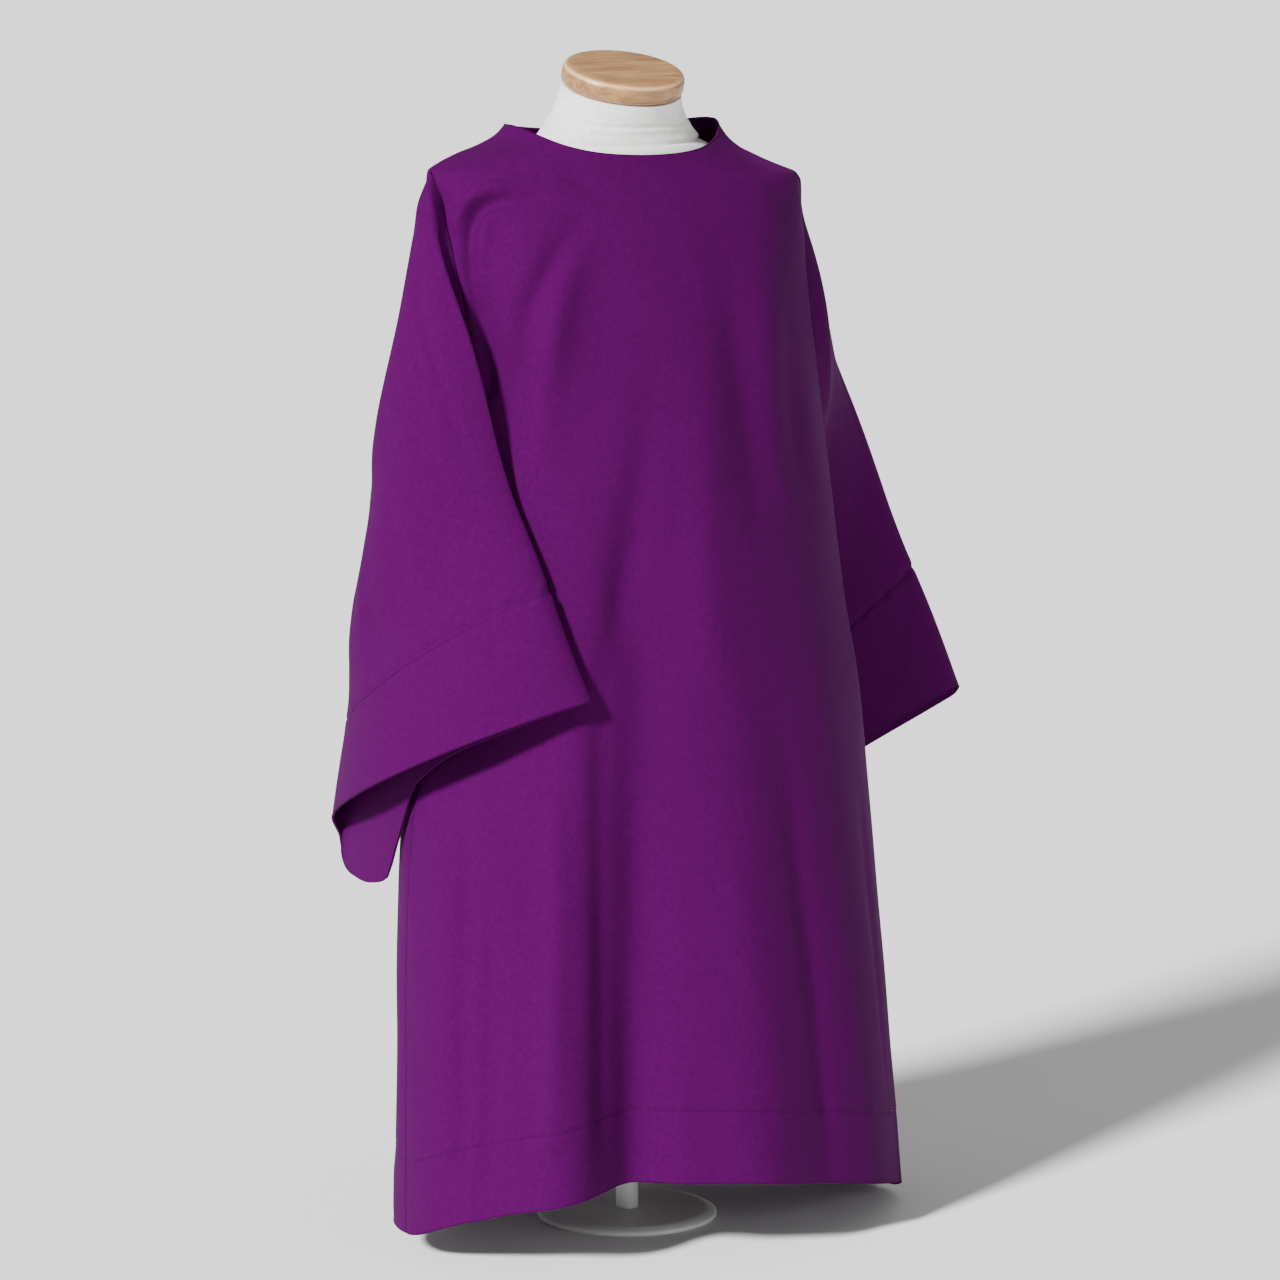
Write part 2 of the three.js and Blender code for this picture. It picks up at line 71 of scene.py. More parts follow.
# %% The body's outline
BODY_NAMES = ("z", "right", "left", "front", "back", "side")
BODY = (
    (8, 300, 313, -252, 160, -45), (100, 298, 306, -244, 157, -42), (200, 295, 298, -235, 152, -38),
    (320, 290, 291, -222, 148, -30), (460, 280, 282, -205, 142, -22), (600, 264, 270, -190, 138, -16),
    (700, 249, 254, -176, 133, -12), (800, 236, 243, -163, 129, -8), (890, 230, 232, -152, 127, -4),
    (956, 230, 226, -144, 126, -1), (1010, 240, 221, -135, 124, 2), (1065, 246, 217, -120, 121, 4),
    (1110, 241, 217, -104, 116, 8), (1148, 234, 219, -84, 108, 10), (1158, 234, 214, -78, 105, 12),
    (1165, 233, 197, -73, 103, 14), (1172, 231, 178, -69, 101, 16), (1180, 217, 160, -65, 98, 18),
    (1188, 196, 145, -62, 96, 21), (1196, 168, 136, -59, 93, 24), (1207, 143, 128, -55, 90, 27),
    (1218, 130, 122, -52, 87, 29),
)
# How far a straight-cut hem lifts: angle from centre front, rise.
HEM_RISE = ((-180, 46), (-135, 34), (-90, 20), (-66, 46), (-45, 68), (-20, 84), (0, 82),
            (22, 66), (45, 44), (70, 18), (90, 0), (135, 32), (180, 46))
# The largest folds: angle at the hem, angle at its top, height at the hem, height at the top,
# width in degrees, and where the fold runs out.
FOLDS = (
    (-22, -18, -42, -12, 9, 720), (-40, -35, 12, 4, 9, 640), (-8, -7, -14, -4, 12, 760),
    (7, 5, 10, 4, 10, 820), (40, 34, 10, 4, 12, 640), (64, 62, -5, -1, 8, 420),
    (112, 116, 14, 3, 11, 560), (136, 140, -20, -4, 9, 640), (160, 162, 16, 5, 10, 760),
    (187, 184, -15, -4, 9, 820), (212, 206, 15, 4, 11, 700), (240, 236, -18, -3, 10, 560),
)
# Broad shapes: angle, height, spread in degrees, spread in height, how far they stand out.
SWELLS = (
    (-42, 1030, 12, 95, 9), (-58, 1000, 5, 90, -7), (-26, 985, 10, 120, -2),
    (30, 1000, 10, 110, 6), (-72, 620, 24, 95, -30), (118, 600, 24, 130, -14),
)
UNDERARM_Z, SHOULDER_Z = 860, {-1: 1172, 1: 1158}
ARMHOLE_OPEN, SEAM_ANGLE = 23, 0.11
NECK_Z, NECK_DROP_FRONT, NECK_DROP_BACK, HEM_Z = 1218, 32, 12, 8
CLOTH, LAYER = 1.8, 0.4
print("measured heights:", len(BODY), "folds:", len(FOLDS))

# %% [markdown]
# The rows are joined by a curve that never overshoots them, so a shoulder stays a shoulder.
# Every function takes whole arrays, because a sheet of cloth has tens of thousands of points.


# %% Curves and the body's surface
def read(rows, column, at, key=0):
    """The value of a column of the rows where the key column is `at`."""
    data = np.array(rows, float)
    x, y = data[:, key], data[:, column]
    step = np.diff(y) / np.diff(x)
    slope = np.concatenate([step[:1], np.zeros(len(x) - 2), step[-1:]])
    both = step[:-1] * step[1:]
    total = np.where(both > 0, step[:-1] + step[1:], 1)
    slope[1:-1] = np.where(both > 0, 2 * both / total, 0)
    at = np.clip(np.asarray(at, float), x[0], x[-1])
    i = np.clip(np.searchsorted(x, at, side="right") - 1, 0, len(x) - 2)
    width = x[i + 1] - x[i]
    s = (at - x[i]) / width
    return (y[i] * (1 + 2 * s) * (1 - s) ** 2 + y[i + 1] * (3 - 2 * s) * s**2
            + width * s * (1 - s) * (slope[i] * (1 - s) - slope[i + 1] * s))


def smooth(low, high, x):
    s = np.clip((x - low) / (high - low), 0, 1)
    return s * s * (3 - 2 * s)


def bell(x, width):
    return np.exp(-((x / width) ** 2))


def apart(a, b):
    return (a - b + 180) % 360 - 180


def body(angle, z):
    """Points on the outside of the body: degrees from centre front, and a height."""
    s, c = np.sin(np.radians(angle)), np.cos(np.radians(angle))
    right, left, front, back, side = (read(BODY, k, z) for k in range(1, 6))
    front, back = side - front, back - side
    wide = (left + right) / 2 + (left - right) / 2 * s
    deep = (front + back) / 2 + (front - back) / 2 * c
    out = 0
    for at, at_top, high, high_top, width, top in FOLDS:
        up = smooth(HEM_Z, top, z)
        middle = at + (at_top - at) * up
        height = high + (high_top - high) * up
        out = out + height * (1 - smooth(top - 60, top + 190, z)) * bell(apart(angle, middle), width)
    for at, height, spread_at, spread_z, high in SWELLS:
        out = out + high * bell(apart(angle, at), spread_at) * bell(z - height, spread_z)
    nx, ny = s / wide, -c / deep
    n = np.hypot(nx, ny)
    return np.stack([wide * s + out * nx / n, side - deep * c + out * ny / n, z + 0 * angle], -1)


def unit(v):
    return v / np.maximum(np.linalg.norm(v, axis=-1, keepdims=True), 1e-9)


def body_normal(angle, z):
    across = body(angle + 0.8, z) - body(angle - 0.8, z)
    up = body(angle, z + 1.5) - body(angle, z - 1.5)
    return unit(np.cross(across, up))


def armhole_gap(z, side):
    """How far an armhole's edge stands back from the side, in degrees."""
    t = np.clip((z - UNDERARM_Z) / (SHOULDER_Z[side] - UNDERARM_Z), 0, 1)
    return ARMHOLE_OPEN * np.sin(np.pi * t) ** 0.6


def row_height(z, angle):
    """A panel's row lifts at the hem and dips at the neck between the sides."""
    c = np.cos(np.radians(angle))
    drop = np.where(c > 0, NECK_DROP_FRONT, NECK_DROP_BACK)
    low = 1 - smooth(HEM_Z, 640, z)
    return z + read(HEM_RISE, 1, apart(angle, 0)) * low - drop * c * c * smooth(1060, NECK_Z, z)


print("chest, centre front:", np.round(body(np.array(0.0), np.array(1000.0)), 1))

# %% [markdown]
# ## From points to a sheet of cloth
# A sheet is a grid of points with a second grid just behind it, closed at its edges, so light
# meets it as real cloth with two sides. Its UV map is in metres, measured along the threads,
# so one weave fits every piece at its true scale. Flat grids with named directions are easier
# to correct than a sculpted mesh: every crease can be moved by changing one number.


# %% Sheets
def grid_normals(grid, closed):
    across = np.roll(grid, -1, 1) - np.roll(grid, 1, 1)
    if not closed:
        across[:, 0] = grid[:, 1] - grid[:, 0]
        across[:, -1] = grid[:, -1] - grid[:, -2]
    return unit(np.cross(across, np.gradient(grid, axis=0)))


def thread_lengths(grid, closed):
    """The UV grid in metres: along the rows from the middle, and up the middle column."""
    wide = np.concatenate([grid, grid[:, :1]], 1) if closed else grid
    along = np.linalg.norm(np.diff(wide, axis=1), axis=-1).cumsum(1)
    along = np.concatenate([np.zeros((len(grid), 1)), along], 1)
    along -= along[:, [along.shape[1] // 2]]
    middle = wide[:, wide.shape[1] // 2]
    up = np.concatenate([[0], np.linalg.norm(np.diff(middle, axis=0), axis=-1).cumsum()])
    return np.stack([along, np.repeat(up[:, None], along.shape[1], 1)], -1) / 1000


def shell(name, outer, normal, thick, closed, material):
    """A mesh object for a sheet whose outside is the grid `outer`, `thick` mm thick."""
    test = np.cross(np.roll(outer, -1, 1) - outer, np.gradient(outer, axis=0))
    if (test[:, :-1] * normal[:, :-1]).sum() < 0:
        outer, normal = outer[:, ::-1], normal[:, ::-1]
    rows, columns = outer.shape[:2]
    uv = thread_lengths(outer, closed)
    points = np.concatenate([outer.reshape(-1, 3), (outer - normal * thick).reshape(-1, 3)]) / 1000
    i, j = np.meshgrid(np.arange(rows - 1), np.arange(columns if closed else columns - 1), indexing="ij")
    i, j = i.ravel(), j.ravel()
    k = (j + 1) % columns
    half = rows * columns
    at = lambda r, c, layer=0: layer * half + r * columns + c
    corner = lambda r, c: uv[r, c]
    faces = [np.stack([at(i, j), at(i, k), at(i + 1, k), at(i + 1, j)], 1),
             np.stack([at(i, j, 1), at(i + 1, j, 1), at(i + 1, k, 1), at(i, k, 1)], 1)]
    maps = [np.stack([corner(i, j), corner(i, j + 1), corner(i + 1, j + 1), corner(i + 1, j)], 1),
            np.stack([corner(i, j), corner(i + 1, j), corner(i + 1, j + 1), corner(i, j + 1)], 1)]
    e = np.arange(columns if closed else columns - 1)
    f = (e + 1) % columns
    for r, turn in ((0, 1), (rows - 1, -1)):
        edge = np.stack([at(r, e), at(r, e, 1), at(r, f, 1), at(r, f)], 1)
        faces.append(edge[:, ::turn])
        both = np.stack([corner(r, e), corner(r, e), corner(r, e + 1), corner(r, e + 1)], 1)
        maps.append(both[:, ::turn])
    if not closed:
        r = np.arange(rows - 1)
        for c, turn in ((0, 1), (columns - 1, -1)):
            edge = np.stack([at(r, c), at(r + 1, c), at(r + 1, c, 1), at(r, c, 1)], 1)
            faces.append(edge[:, ::turn])
            both = np.stack([corner(r, c), corner(r + 1, c), corner(r + 1, c), corner(r, c)], 1)
            maps.append(both[:, ::turn])
    mesh = bpy.data.meshes.new(name)
    mesh.from_pydata(points.tolist(), [], np.concatenate(faces).tolist())
    layer = mesh.uv_layers.new(name="threads")
    layer.data.foreach_set("uv", np.concatenate(maps).ravel().astype(np.float32))
    mesh.materials.append(material)
    mesh.shade_smooth()
    mesh.set_sharp_from_angle(angle=math.radians(55))
    piece = bpy.data.objects.new(name, mesh)
    bpy.context.scene.collection.objects.link(piece)
    area = np.linalg.norm(test[:, :-1], axis=-1)[: rows].sum() / 1e6
    print(f"{name}: {rows} x {columns} points, {2 * len(np.concatenate(faces))} triangles, {area:.3f} m2")
    return piece


# %% [markdown]
# ## Node groups for the looks
# Effects that several materials share are node groups with named inputs. `twill` is the fine
# diagonal rib of gabardine, a slightly shiny cloth of worsted wool; `handling` is the soft
# unevenness that cloth keeps from being folded and worn. Both only put out numbers, so the
# shader that reflects the light stays in each material, where it is easy to find.


# %% Shader helpers
def group(name, inputs, outputs):
    tree = bpy.data.node_groups.new(name, "ShaderNodeTree")
    for title, kind, value in inputs:
        socket = tree.interface.new_socket(title, in_out="INPUT", socket_type=kind)
        if value is not None:
            socket.default_value = value
    for title, kind in outputs:
        tree.interface.new_socket(title, in_out="OUTPUT", socket_type=kind)
    return tree, tree.nodes.new("NodeGroupInput"), tree.nodes.new("NodeGroupOutput")


def add(tree, kind, **sockets):
    """A node with its settings (lower case) and its input values or links (as `In_Name`)."""
    node = tree.nodes.new(kind)
    for key, value in sockets.items():
        if not key.startswith("In_"):
            setattr(node, key, value)
    for key, value in sockets.items():
        if key.startswith("In_"):
            name = key[3:].replace("_", " ")
            socket = node.inputs[int(name)] if name.isdigit() else node.inputs[name]
            if isinstance(value, bpy.types.NodeSocket):
                tree.links.new(value, socket)
            else:
                socket.default_value = value
    return node


# %% [markdown]
# The rib runs at about 60 degrees across the threads. It is drawn by adding the two thread
# directions before a wave, then broken up with a little noise, as no yarn is quite even.

# %% The twill and handling groups
twill, given, result = group("twill", [("Threads", "NodeSocketVector", None),
    ("Ribs per metre", "NodeSocketFloat", 900.0)],
                             [("Height", "NodeSocketFloat")])
split = add(twill, "ShaderNodeSeparateXYZ", In_0=given.outputs["Threads"])
lean = add(twill, "ShaderNodeMath", operation="MULTIPLY", In_0=split.outputs["X"], In_1=1.7)
slope = add(twill, "ShaderNodeMath", operation="ADD", In_0=lean.outputs[0], In_1=split.outputs["Y"])
count = add(twill, "ShaderNodeMath", operation="MULTIPLY", In_0=slope.outputs[0],
    In_1=given.outputs["Ribs per metre"])
uneven = add(twill, "ShaderNodeTexNoise", In_Vector=given.outputs["Threads"], In_Scale=140.0, In_Detail=2.0)
shift = add(twill, "ShaderNodeMath", operation="MULTIPLY_ADD", In_0=uneven.outputs[0], In_1=5.0,
    In_2=count.outputs[0])
wave = add(twill, "ShaderNodeMath", operation="SINE", In_0=shift.outputs[0])
twill.links.new(wave.outputs[0], result.inputs["Height"])

handling, given, result = group("handling",
    [("Position", "NodeSocketVector", None), ("Scale", "NodeSocketFloat", 9.0)],
                                [("Height", "NodeSocketFloat"), ("Shade", "NodeSocketFloat")])
broad = add(handling, "ShaderNodeTexNoise", In_Vector=given.outputs["Position"],
    In_Scale=given.outputs["Scale"], In_Detail=3.0, In_Distortion=0.6)
fine = add(handling, "ShaderNodeTexNoise", In_Vector=given.outputs["Position"], In_Scale=210.0, In_Detail=4.0,
    In_Roughness=0.7)
mix = add(handling, "ShaderNodeMath", operation="MULTIPLY_ADD", In_0=fine.outputs[0], In_1=0.10,
    In_2=broad.outputs[0])
handling.links.new(mix.outputs[0], result.inputs["Height"])
shade = add(handling, "ShaderNodeMapRange", In_Value=fine.outputs[0])
shade.inputs["From Min"].default_value, shade.inputs["From Max"].default_value = 0.3, 0.7
shade.inputs["To Min"].default_value, shade.inputs["To Max"].default_value = 0.86, 1.12
handling.links.new(shade.outputs[0], result.inputs["Shade"])
print("groups:", [g.name for g in bpy.data.node_groups])


# %% [markdown]
# ## Cloth materials
# The vestment is a deep violet gabardine. Its nap catches a little light at grazing angles,
# which is the sheen; its ribs are finer than a millimetre, so they mostly roughen the light.
# The form's cover is off-white cotton jersey, knitted, with a softer and duller surface.


# %% Cloth
def cloth_material(name, colour, rough, sheen, tint, ribs, rib_depth, crumple):
    material = bpy.data.materials.new(name)
    material.use_nodes = True
    tree = material.node_tree
    principled = tree.nodes["Principled BSDF"]
    place = add(tree, "ShaderNodeTexCoord")
    threads = add(tree, "ShaderNodeUVMap", uv_map="threads")
    weave = add(tree, "ShaderNodeGroup", node_tree=twill)
    tree.links.new(threads.outputs["UV"], weave.inputs["Threads"])
    weave.inputs["Ribs per metre"].default_value = ribs
    worn = add(tree, "ShaderNodeGroup", node_tree=handling)
    tree.links.new(place.outputs["Object"], worn.inputs["Position"])
    dye = add(tree, "ShaderNodeMix", data_type="RGBA", blend_type="MULTIPLY")
    dye.inputs["Factor"].default_value = 1.0
    dye.inputs[6].default_value = (*colour, 1)
    tree.links.new(worn.outputs["Shade"], dye.inputs[7])
    tree.links.new(dye.outputs[2], principled.inputs["Base Color"])
    soft = add(tree, "ShaderNodeBump", In_Strength=1.0, In_Distance=crumple, In_Height=worn.outputs["Height"])
    rib = add(tree, "ShaderNodeBump", In_Strength=1.0, In_Distance=rib_depth,
        In_Height=weave.outputs["Height"], In_Normal=soft.outputs["Normal"])
    tree.links.new(rib.outputs["Normal"], principled.inputs["Normal"])
    principled.inputs["Roughness"].default_value = rough
    principled.inputs["Specular IOR Level"].default_value = 0.10
    principled.inputs["Specular Tint"].default_value = (*tint, 1)
    principled.inputs["Sheen Weight"].default_value = sheen
    principled.inputs["Sheen Roughness"].default_value = 0.35
    principled.inputs["Sheen Tint"].default_value = (*tint, 1)
    return material


violet = cloth_material("violet_gabardine", (0.048, 0.0, 0.050), 0.75, 0.02, (0.80, 0.02, 0.85), 4200.0,
    0.00005, 0.0016)
jersey = cloth_material("off_white_jersey", (0.80, 0.79, 0.76), 0.9, 0.1, (1, 1, 1), 2600.0, 0.00008, 0.0008)
print("cloth materials:", violet.name, jersey.name)

# %% [markdown]
# ## Creases given one by one
# Where cloth is pulled round a corner or was folded for years, it keeps a soft trough with a
# lip beside it. Each crease is a path over the body with its own height and width at every
# point: angle, height, how far it stands out (a trough is negative), half width in mm. The
# front has a long soft one from the chest round the right armhole; the back has its own smaller
# ones, since the same cloth is pulled there too.

# %% The creases of the body
CREASES = (
    # from the chest to the armhole's front edge, then down beside it, with a lip outside it
    ((-32, 1141, 0, 9), (-39, 1145, -2.5, 9), (-47, 1145, -4.5, 9), (-54, 1141, -6, 9), (-60, 1131, -7.5, 9),
     (-63, 1116, -8, 9), (-64, 1096, -8, 9), (-64, 1060, -8, 9), (-63, 1020, -9, 9), (-63, 985, -10, 9),
     (-63, 945, -6, 9)),
    ((-44, 1158, 0, 9), (-52, 1157, 4, 9), (-60, 1151, 6, 9), (-67, 1138, 6, 8), (-71, 1118, 4, 7)),
    ((-50, 1132, 0, 8), (-56, 1124, 3, 8), (-58, 1104, 4, 9), (-59, 1070, 3, 9), (-59, 1035, 0, 9)),
    # a slack diagonal over the chest and the fuller cloth beside it
    ((-25, 1128, 0, 12), (-32, 1100, -3, 14), (-38, 1068, -6, 15), (-44, 1030, -7, 15), (-49, 985, -7, 15),
     (-53, 935, -6, 16), (-55, 885, -4, 16), (-56, 840, 0, 14)),
    ((-27, 1095, 0, 16), (-33, 1060, 4, 17), (-38, 1010, 6, 18), (-43, 950, 5, 18), (-44, 880, 3, 18),
     (-43, 830, 0, 16)),
    # the long soft fall from the left of the chest
    ((13, 1060, 0, 22), (15, 1000, -4, 24), (17, 926, -5, 24), (19, 850, -4, 24), (20, 770, 0, 22)),
    ((3, 1010, 0, 26), (3, 930, 3, 28), (1, 820, 4, 28), (0, 700, 4, 26), (1, 600, 0, 26)),
    ((38, 1030, 0, 20), (37, 960, -3, 20), (38, 880, -4, 20), (41, 790, 0, 20)),
    ((-12, 980, 0, 18), (-14, 900, -3, 20), (-18, 810, -4, 20), (-22, 720, -5, 18), (-24, 650, 0, 16)),
    # soft pulls that follow the skirt's deep fall, its lit lip, and the flatter cloth beside it
    ((-27, 700, 0, 14), (-28, 600, -3, 14), (-28, 450, -4, 14), (-29, 250, -4, 14), (-30, 110, -2, 13)),
    ((-39, 560, 0, 14), (-39, 450, 3, 14), (-40, 300, 4, 14), (-42, 150, 3, 14)),
    ((-56, 430, 0, 16), (-56, 330, -3, 16), (-57, 220, -4, 16), (-58, 110, -3, 15)),
    ((20, 560, 0, 16), (21, 430, -3, 16), (23, 300, -4, 16), (24, 180, -4, 16), (25, 100, -2, 15)),
    ((52, 500, 0, 14), (53, 400, -3, 14), (54, 260, -4, 14), (55, 120, -3, 14)),
    ((-66, 520, 0, 13), (-64, 400, -4, 13), (-65, 260, -5, 13), (-66, 120, -4, 13)),
    # small pulls at the neck
    ((-30, 1176, 0, 8), (-24, 1158, -1.6, 9), (-14, 1142, 0, 10)),
    ((34, 1180, 0, 9), (40, 1163, -1.8, 9), (46, 1140, 0, 10)),
    ((62, 1168, 0, 9), (68, 1148, -2.2, 9), (74, 1110, -2, 9), (76, 1070, 0, 9)),
    # the back: the same pull from each armhole, long falls from the shoulders, and skirt folds
    ((146, 1146, 0, 9), (138, 1142, -3, 9), (128, 1134, -5, 9), (120, 1118, -6, 9), (115, 1090, -5, 9),
     (114, 1040, -4, 9), (114, 985, 0, 9)),
    ((216, 1148, 0, 9), (226, 1142, -4, 9), (236, 1130, -6, 9), (243, 1110, -6, 9), (246, 1070, -5, 9),
     (246, 1010, -4, 9), (246, 960, 0, 9)),
    ((160, 1110, 0, 18), (155, 1040, -4, 20), (149, 960, -5, 20), (146, 870, -4, 20), (144, 780, 0, 18)),
    ((204, 1105, 0, 18), (210, 1030, -4, 20), (216, 940, -5, 20), (220, 840, -4, 20), (224, 760, 0, 18)),
    ((182, 1090, 0, 24), (183, 980, 4, 26), (184, 860, 5, 26), (182, 740, 0, 24)),
    ((124, 560, 0, 15), (124, 440, -5, 15), (122, 300, -6, 15), (120, 140, -5, 15)),
    ((149, 600, 0, 16), (150, 480, 5, 16), (150, 320, 6, 16), (149, 120, 4, 16)),
    ((174, 700, 0, 16), (174, 560, -5, 16), (173, 380, -6, 16), (172, 140, -5, 16)),
    ((198, 640, 0, 16), (199, 500, 5, 16), (200, 330, 6, 16), (200, 120, 4, 16)),
    ((226, 600, 0, 16), (227, 460, -5, 15), (228, 300, -6, 15), (229, 120, -4, 15)),
    ((254, 520, 0, 14), (255, 400, -4, 14), (256, 240, -5, 14), (257, 110, -3, 14)),
)


def press(points, path, out, width):
    """How far one crease moves each point, by its distance from the path."""
    peak = np.zeros(points.shape[:-1])
    weight = np.full_like(peak, 1e-9)
    height = np.zeros_like(peak)
    for a in range(len(path) - 1):
        line = path[a + 1] - path[a]
        t = np.clip(((points - path[a]) @ line) / (line @ line), 0, 1)
        gap = np.linalg.norm(points - path[a] - t[..., None] * line, axis=-1)
        w = width[a] + (width[a + 1] - width[a]) * t
        h = out[a] + (out[a + 1] - out[a]) * t
        near = bell(gap, w)
        peak = np.maximum(peak, near)
        weight += near
        height += near * h
    return peak * height / weight


def fine_path(rows, place, count=6):
    """A crease's points on the cloth, with smooth heights and widths between its rows."""
    data = np.array(rows, float)
    t = np.linspace(0, len(data) - 1, (len(data) - 1) * count + 1)
    columns = [read([(i, v) for i, v in enumerate(data[:, k])], 1, t) for k in range(4)]
    return place(columns[0], columns[1]), columns[2], columns[3]


print("creases on the body:", len(CREASES))

# %% [markdown]
# ## The two body panels
# Each panel runs from one side seam to the other, with armholes cut into its edges. Rows are
# closer together at the hem's stitch line and at the neck, where small shapes need them. A
# stitched line pulls the cloth in by half a millimetre and puckers it unevenly; a seam does
# the same along the panel's edge.

# %% Panels
HEM_STITCH, NECK_STITCH = 90, 1188
ROWS = np.unique(np.concatenate([
    np.linspace(8, 1040, 142), np.linspace(82, 98, 9), np.linspace(1040, 1160, 58),
        np.linspace(1160, 1218, 26),
    [HEM_STITCH, NECK_STITCH]]))
COLUMNS = 188


def ripple(u, v, seed, waves=7, long=160.0, short=55.0):
    """Low irregular waves, for cloth that isn't quite flat anywhere; u and v are in mm."""
    r = np.random.default_rng(seed)
    total = 0
    for _ in range(waves):
        length = r.uniform(short, long)
        turn = r.uniform(0, np.pi)
        total = total + np.sin((u * np.cos(turn) + v * np.sin(turn) * 0.5) * 2 * np.pi / length + r.uniform(0,
            6.3))
    return total / waves


def pucker(distance, along, seed, reach=3.2, depth=0.6):
    r = np.random.default_rng(seed)
    knots = np.cumsum(r.uniform(7, 19, 400))
    phase = np.interp(along % knots[-1], knots, np.arange(400) * np.pi)
    return -depth * bell(distance, reach) - 0.45 * depth * np.sin(phase) * bell(distance, reach * 2.6)


def panel(middle, seed):
    u = np.linspace(-1, 1, COLUMNS)
    z, u = np.meshgrid(ROWS, u, indexing="ij")
    side = np.where(u < 0, -1, 1) * (1 if middle == 0 else -1)
    gap = np.where(side < 0, armhole_gap(z, -1), armhole_gap(z, 1))
    angle = middle + u * (90 - SEAM_ANGLE - gap)
    flat_angle = middle + u * 90
    height = row_height(z, flat_angle)
    points = body(angle, height)
    normal = body_normal(np.where((np.abs(u) == 1) & (gap == 0), flat_angle, angle), height)
    out = np.zeros_like(z)
    for crease in CREASES:
        if np.cos(np.radians(crease[0][0] - middle)) > 0:
            path, high, width = fine_path(crease, body)
            out += press(points, path, high, width)
    threads = thread_lengths(points, False) * 1000
    edge = np.minimum(threads[:, -1:, 0] - threads[..., 0], threads[..., 0] - threads[:, :1, 0])
    inside = smooth(0, 26, edge) * smooth(0, 18, z - HEM_Z) * smooth(0, 14, NECK_Z - z)
    out *= 0.25 + 0.75 * inside
    out += 1.1 * ripple(threads[..., 0], threads[..., 1], seed) * inside
    out += pucker(z - HEM_STITCH, threads[..., 0] + 900, seed + 1)
    shown = 0.22 + 0.78 * bell(apart(angle, -42), 24)
    out += shown * pucker(z - NECK_STITCH, threads[..., 0] + 900, seed + 2, reach=2.6, depth=0.8)
    out += -0.9 * bell(edge, 3.0)
    points = points + normal * out[..., None]
    fresh = grid_normals(points, False)
    fresh = np.where((fresh * normal).sum(-1, keepdims=True) < 0, -fresh, fresh)
    keep = smooth(0, 8, edge)[..., None]
    return points, unit(fresh * keep + normal * (1 - keep))


front_points, front_normal = panel(0, 11)
back_points, back_normal = panel(180, 23)
front_panel = shell("front_panel_cloth", front_points, front_normal, CLOTH, False, violet)
back_panel = shell("back_panel_cloth", back_points, back_normal, CLOTH, False, violet)

# %% [markdown]
# ## Turned-up edges
# The hem, the cuffs and the neck are finished by a second layer inside, so an edge shows as a
# soft roll and not as a cut. Each turn-up starts on the outside of the edge, rolls under it and
# goes up inside. The same function makes all four.


# %% Turn-ups
def turn_up(name, rows, normal, closed=True):
    """rows[0] is the edge, and the others lie further in."""
    past = unit(rows[0] - rows[1])
    n = normal[0]
    roll = [(0.05, 0.25), (0.5, 0.75), (-0.35, 1.25), (-1.3, 1.45), (-2.2, 1.1), (-2.75, 0.3)]
    lip = [rows[0] + n * a + past * b for a, b in roll]
    inner = [rows[k] - normal[k] * (CLOTH + LAYER + (0 if k else 0.4)) for k in range(1, len(rows))]
    grid = np.array(lip + inner)
    facing = grid_normals(grid, closed)
    away = np.array([n] * 2 + [past] * 2 + [-n] * 2 + [-normal[k] for k in range(1, len(rows))])
    flip = (facing * away).sum() < 0
    facing = -facing if flip else facing
    return shell(name, grid, facing, 0.9, closed, violet)


hem_rows = int(np.searchsorted(ROWS, HEM_STITCH)) + 1
neck_rows = int(np.searchsorted(ROWS, NECK_STITCH))
both = np.concatenate([front_points, back_points], 1)
both_normal = np.concatenate([front_normal, back_normal], 1)
skirt_hem = turn_up("skirt_hem_cloth", both[:hem_rows], both_normal[:hem_rows])
neck_facing = turn_up("neck_facing_cloth", both[neck_rows:][::-1], both_normal[neck_rows:][::-1])

# %% [markdown]
# ## The sleeves
# A sleeve is a wide tube, sewn to the armhole and pressed flat, with one fold along its top and
# its seam underneath. Hanging empty it collapses: each row of the table is one section, from
# the armhole to the cuff, with the place of the top fold, of the underarm seam, and how far the
# layer behind and the layer in front stand out between them.

# %% Sleeve sections
SLEEVE_NAMES = ("tx", "ty", "tz", "ux", "uy", "uz", "ox", "oy", "ix", "iy")
SLEEVES = {
    -1: ((-249, -5, 1148, -243, 10, 880, -6, 1, 6, -32), (-260, -28, 1104, -270, 27, 853, -15, 4, 17, -29),
         (-247, -66, 1026, -279, 40, 816, -33, 11, 20, -24), (-230, -86, 952, -268, 55, 771, -43, 8, 13, -19),
         (-204, -98, 842, -297, 64, 658, -58, 3, -13, -4),
         (-182, -129, 776, -281, 93, 599, -60, -13, -33, -8),
         (-164, -155, 693, -292, 111, 523, -72, -28, -48, -15),
         (-142, -178, 620, -302, 109, 465, -81, -29, -52, -14)),
    1: ((220, 21, 1122, 244, 2, 869, 6, 14, -2, -49), (248, 30, 1048, 251, 27, 843, 5, 33, 2, -37),
        (273, 36, 961, 246, 54, 783, 11, 41, 14, -27), (307, 44, 909, 245, 78, 718, 17, 38, 0, -27),
        (342, 45, 831, 234, 102, 651, 10, 36, -2, -17), (380, 50, 738, 214, 124, 560, 14, 34, 0, -9),
        (425, 52, 654, 190, 145, 469, 18, 28, 0, -10), (464, 49, 555, 168, 165, 377, 22, 24, -15, -11)),
}
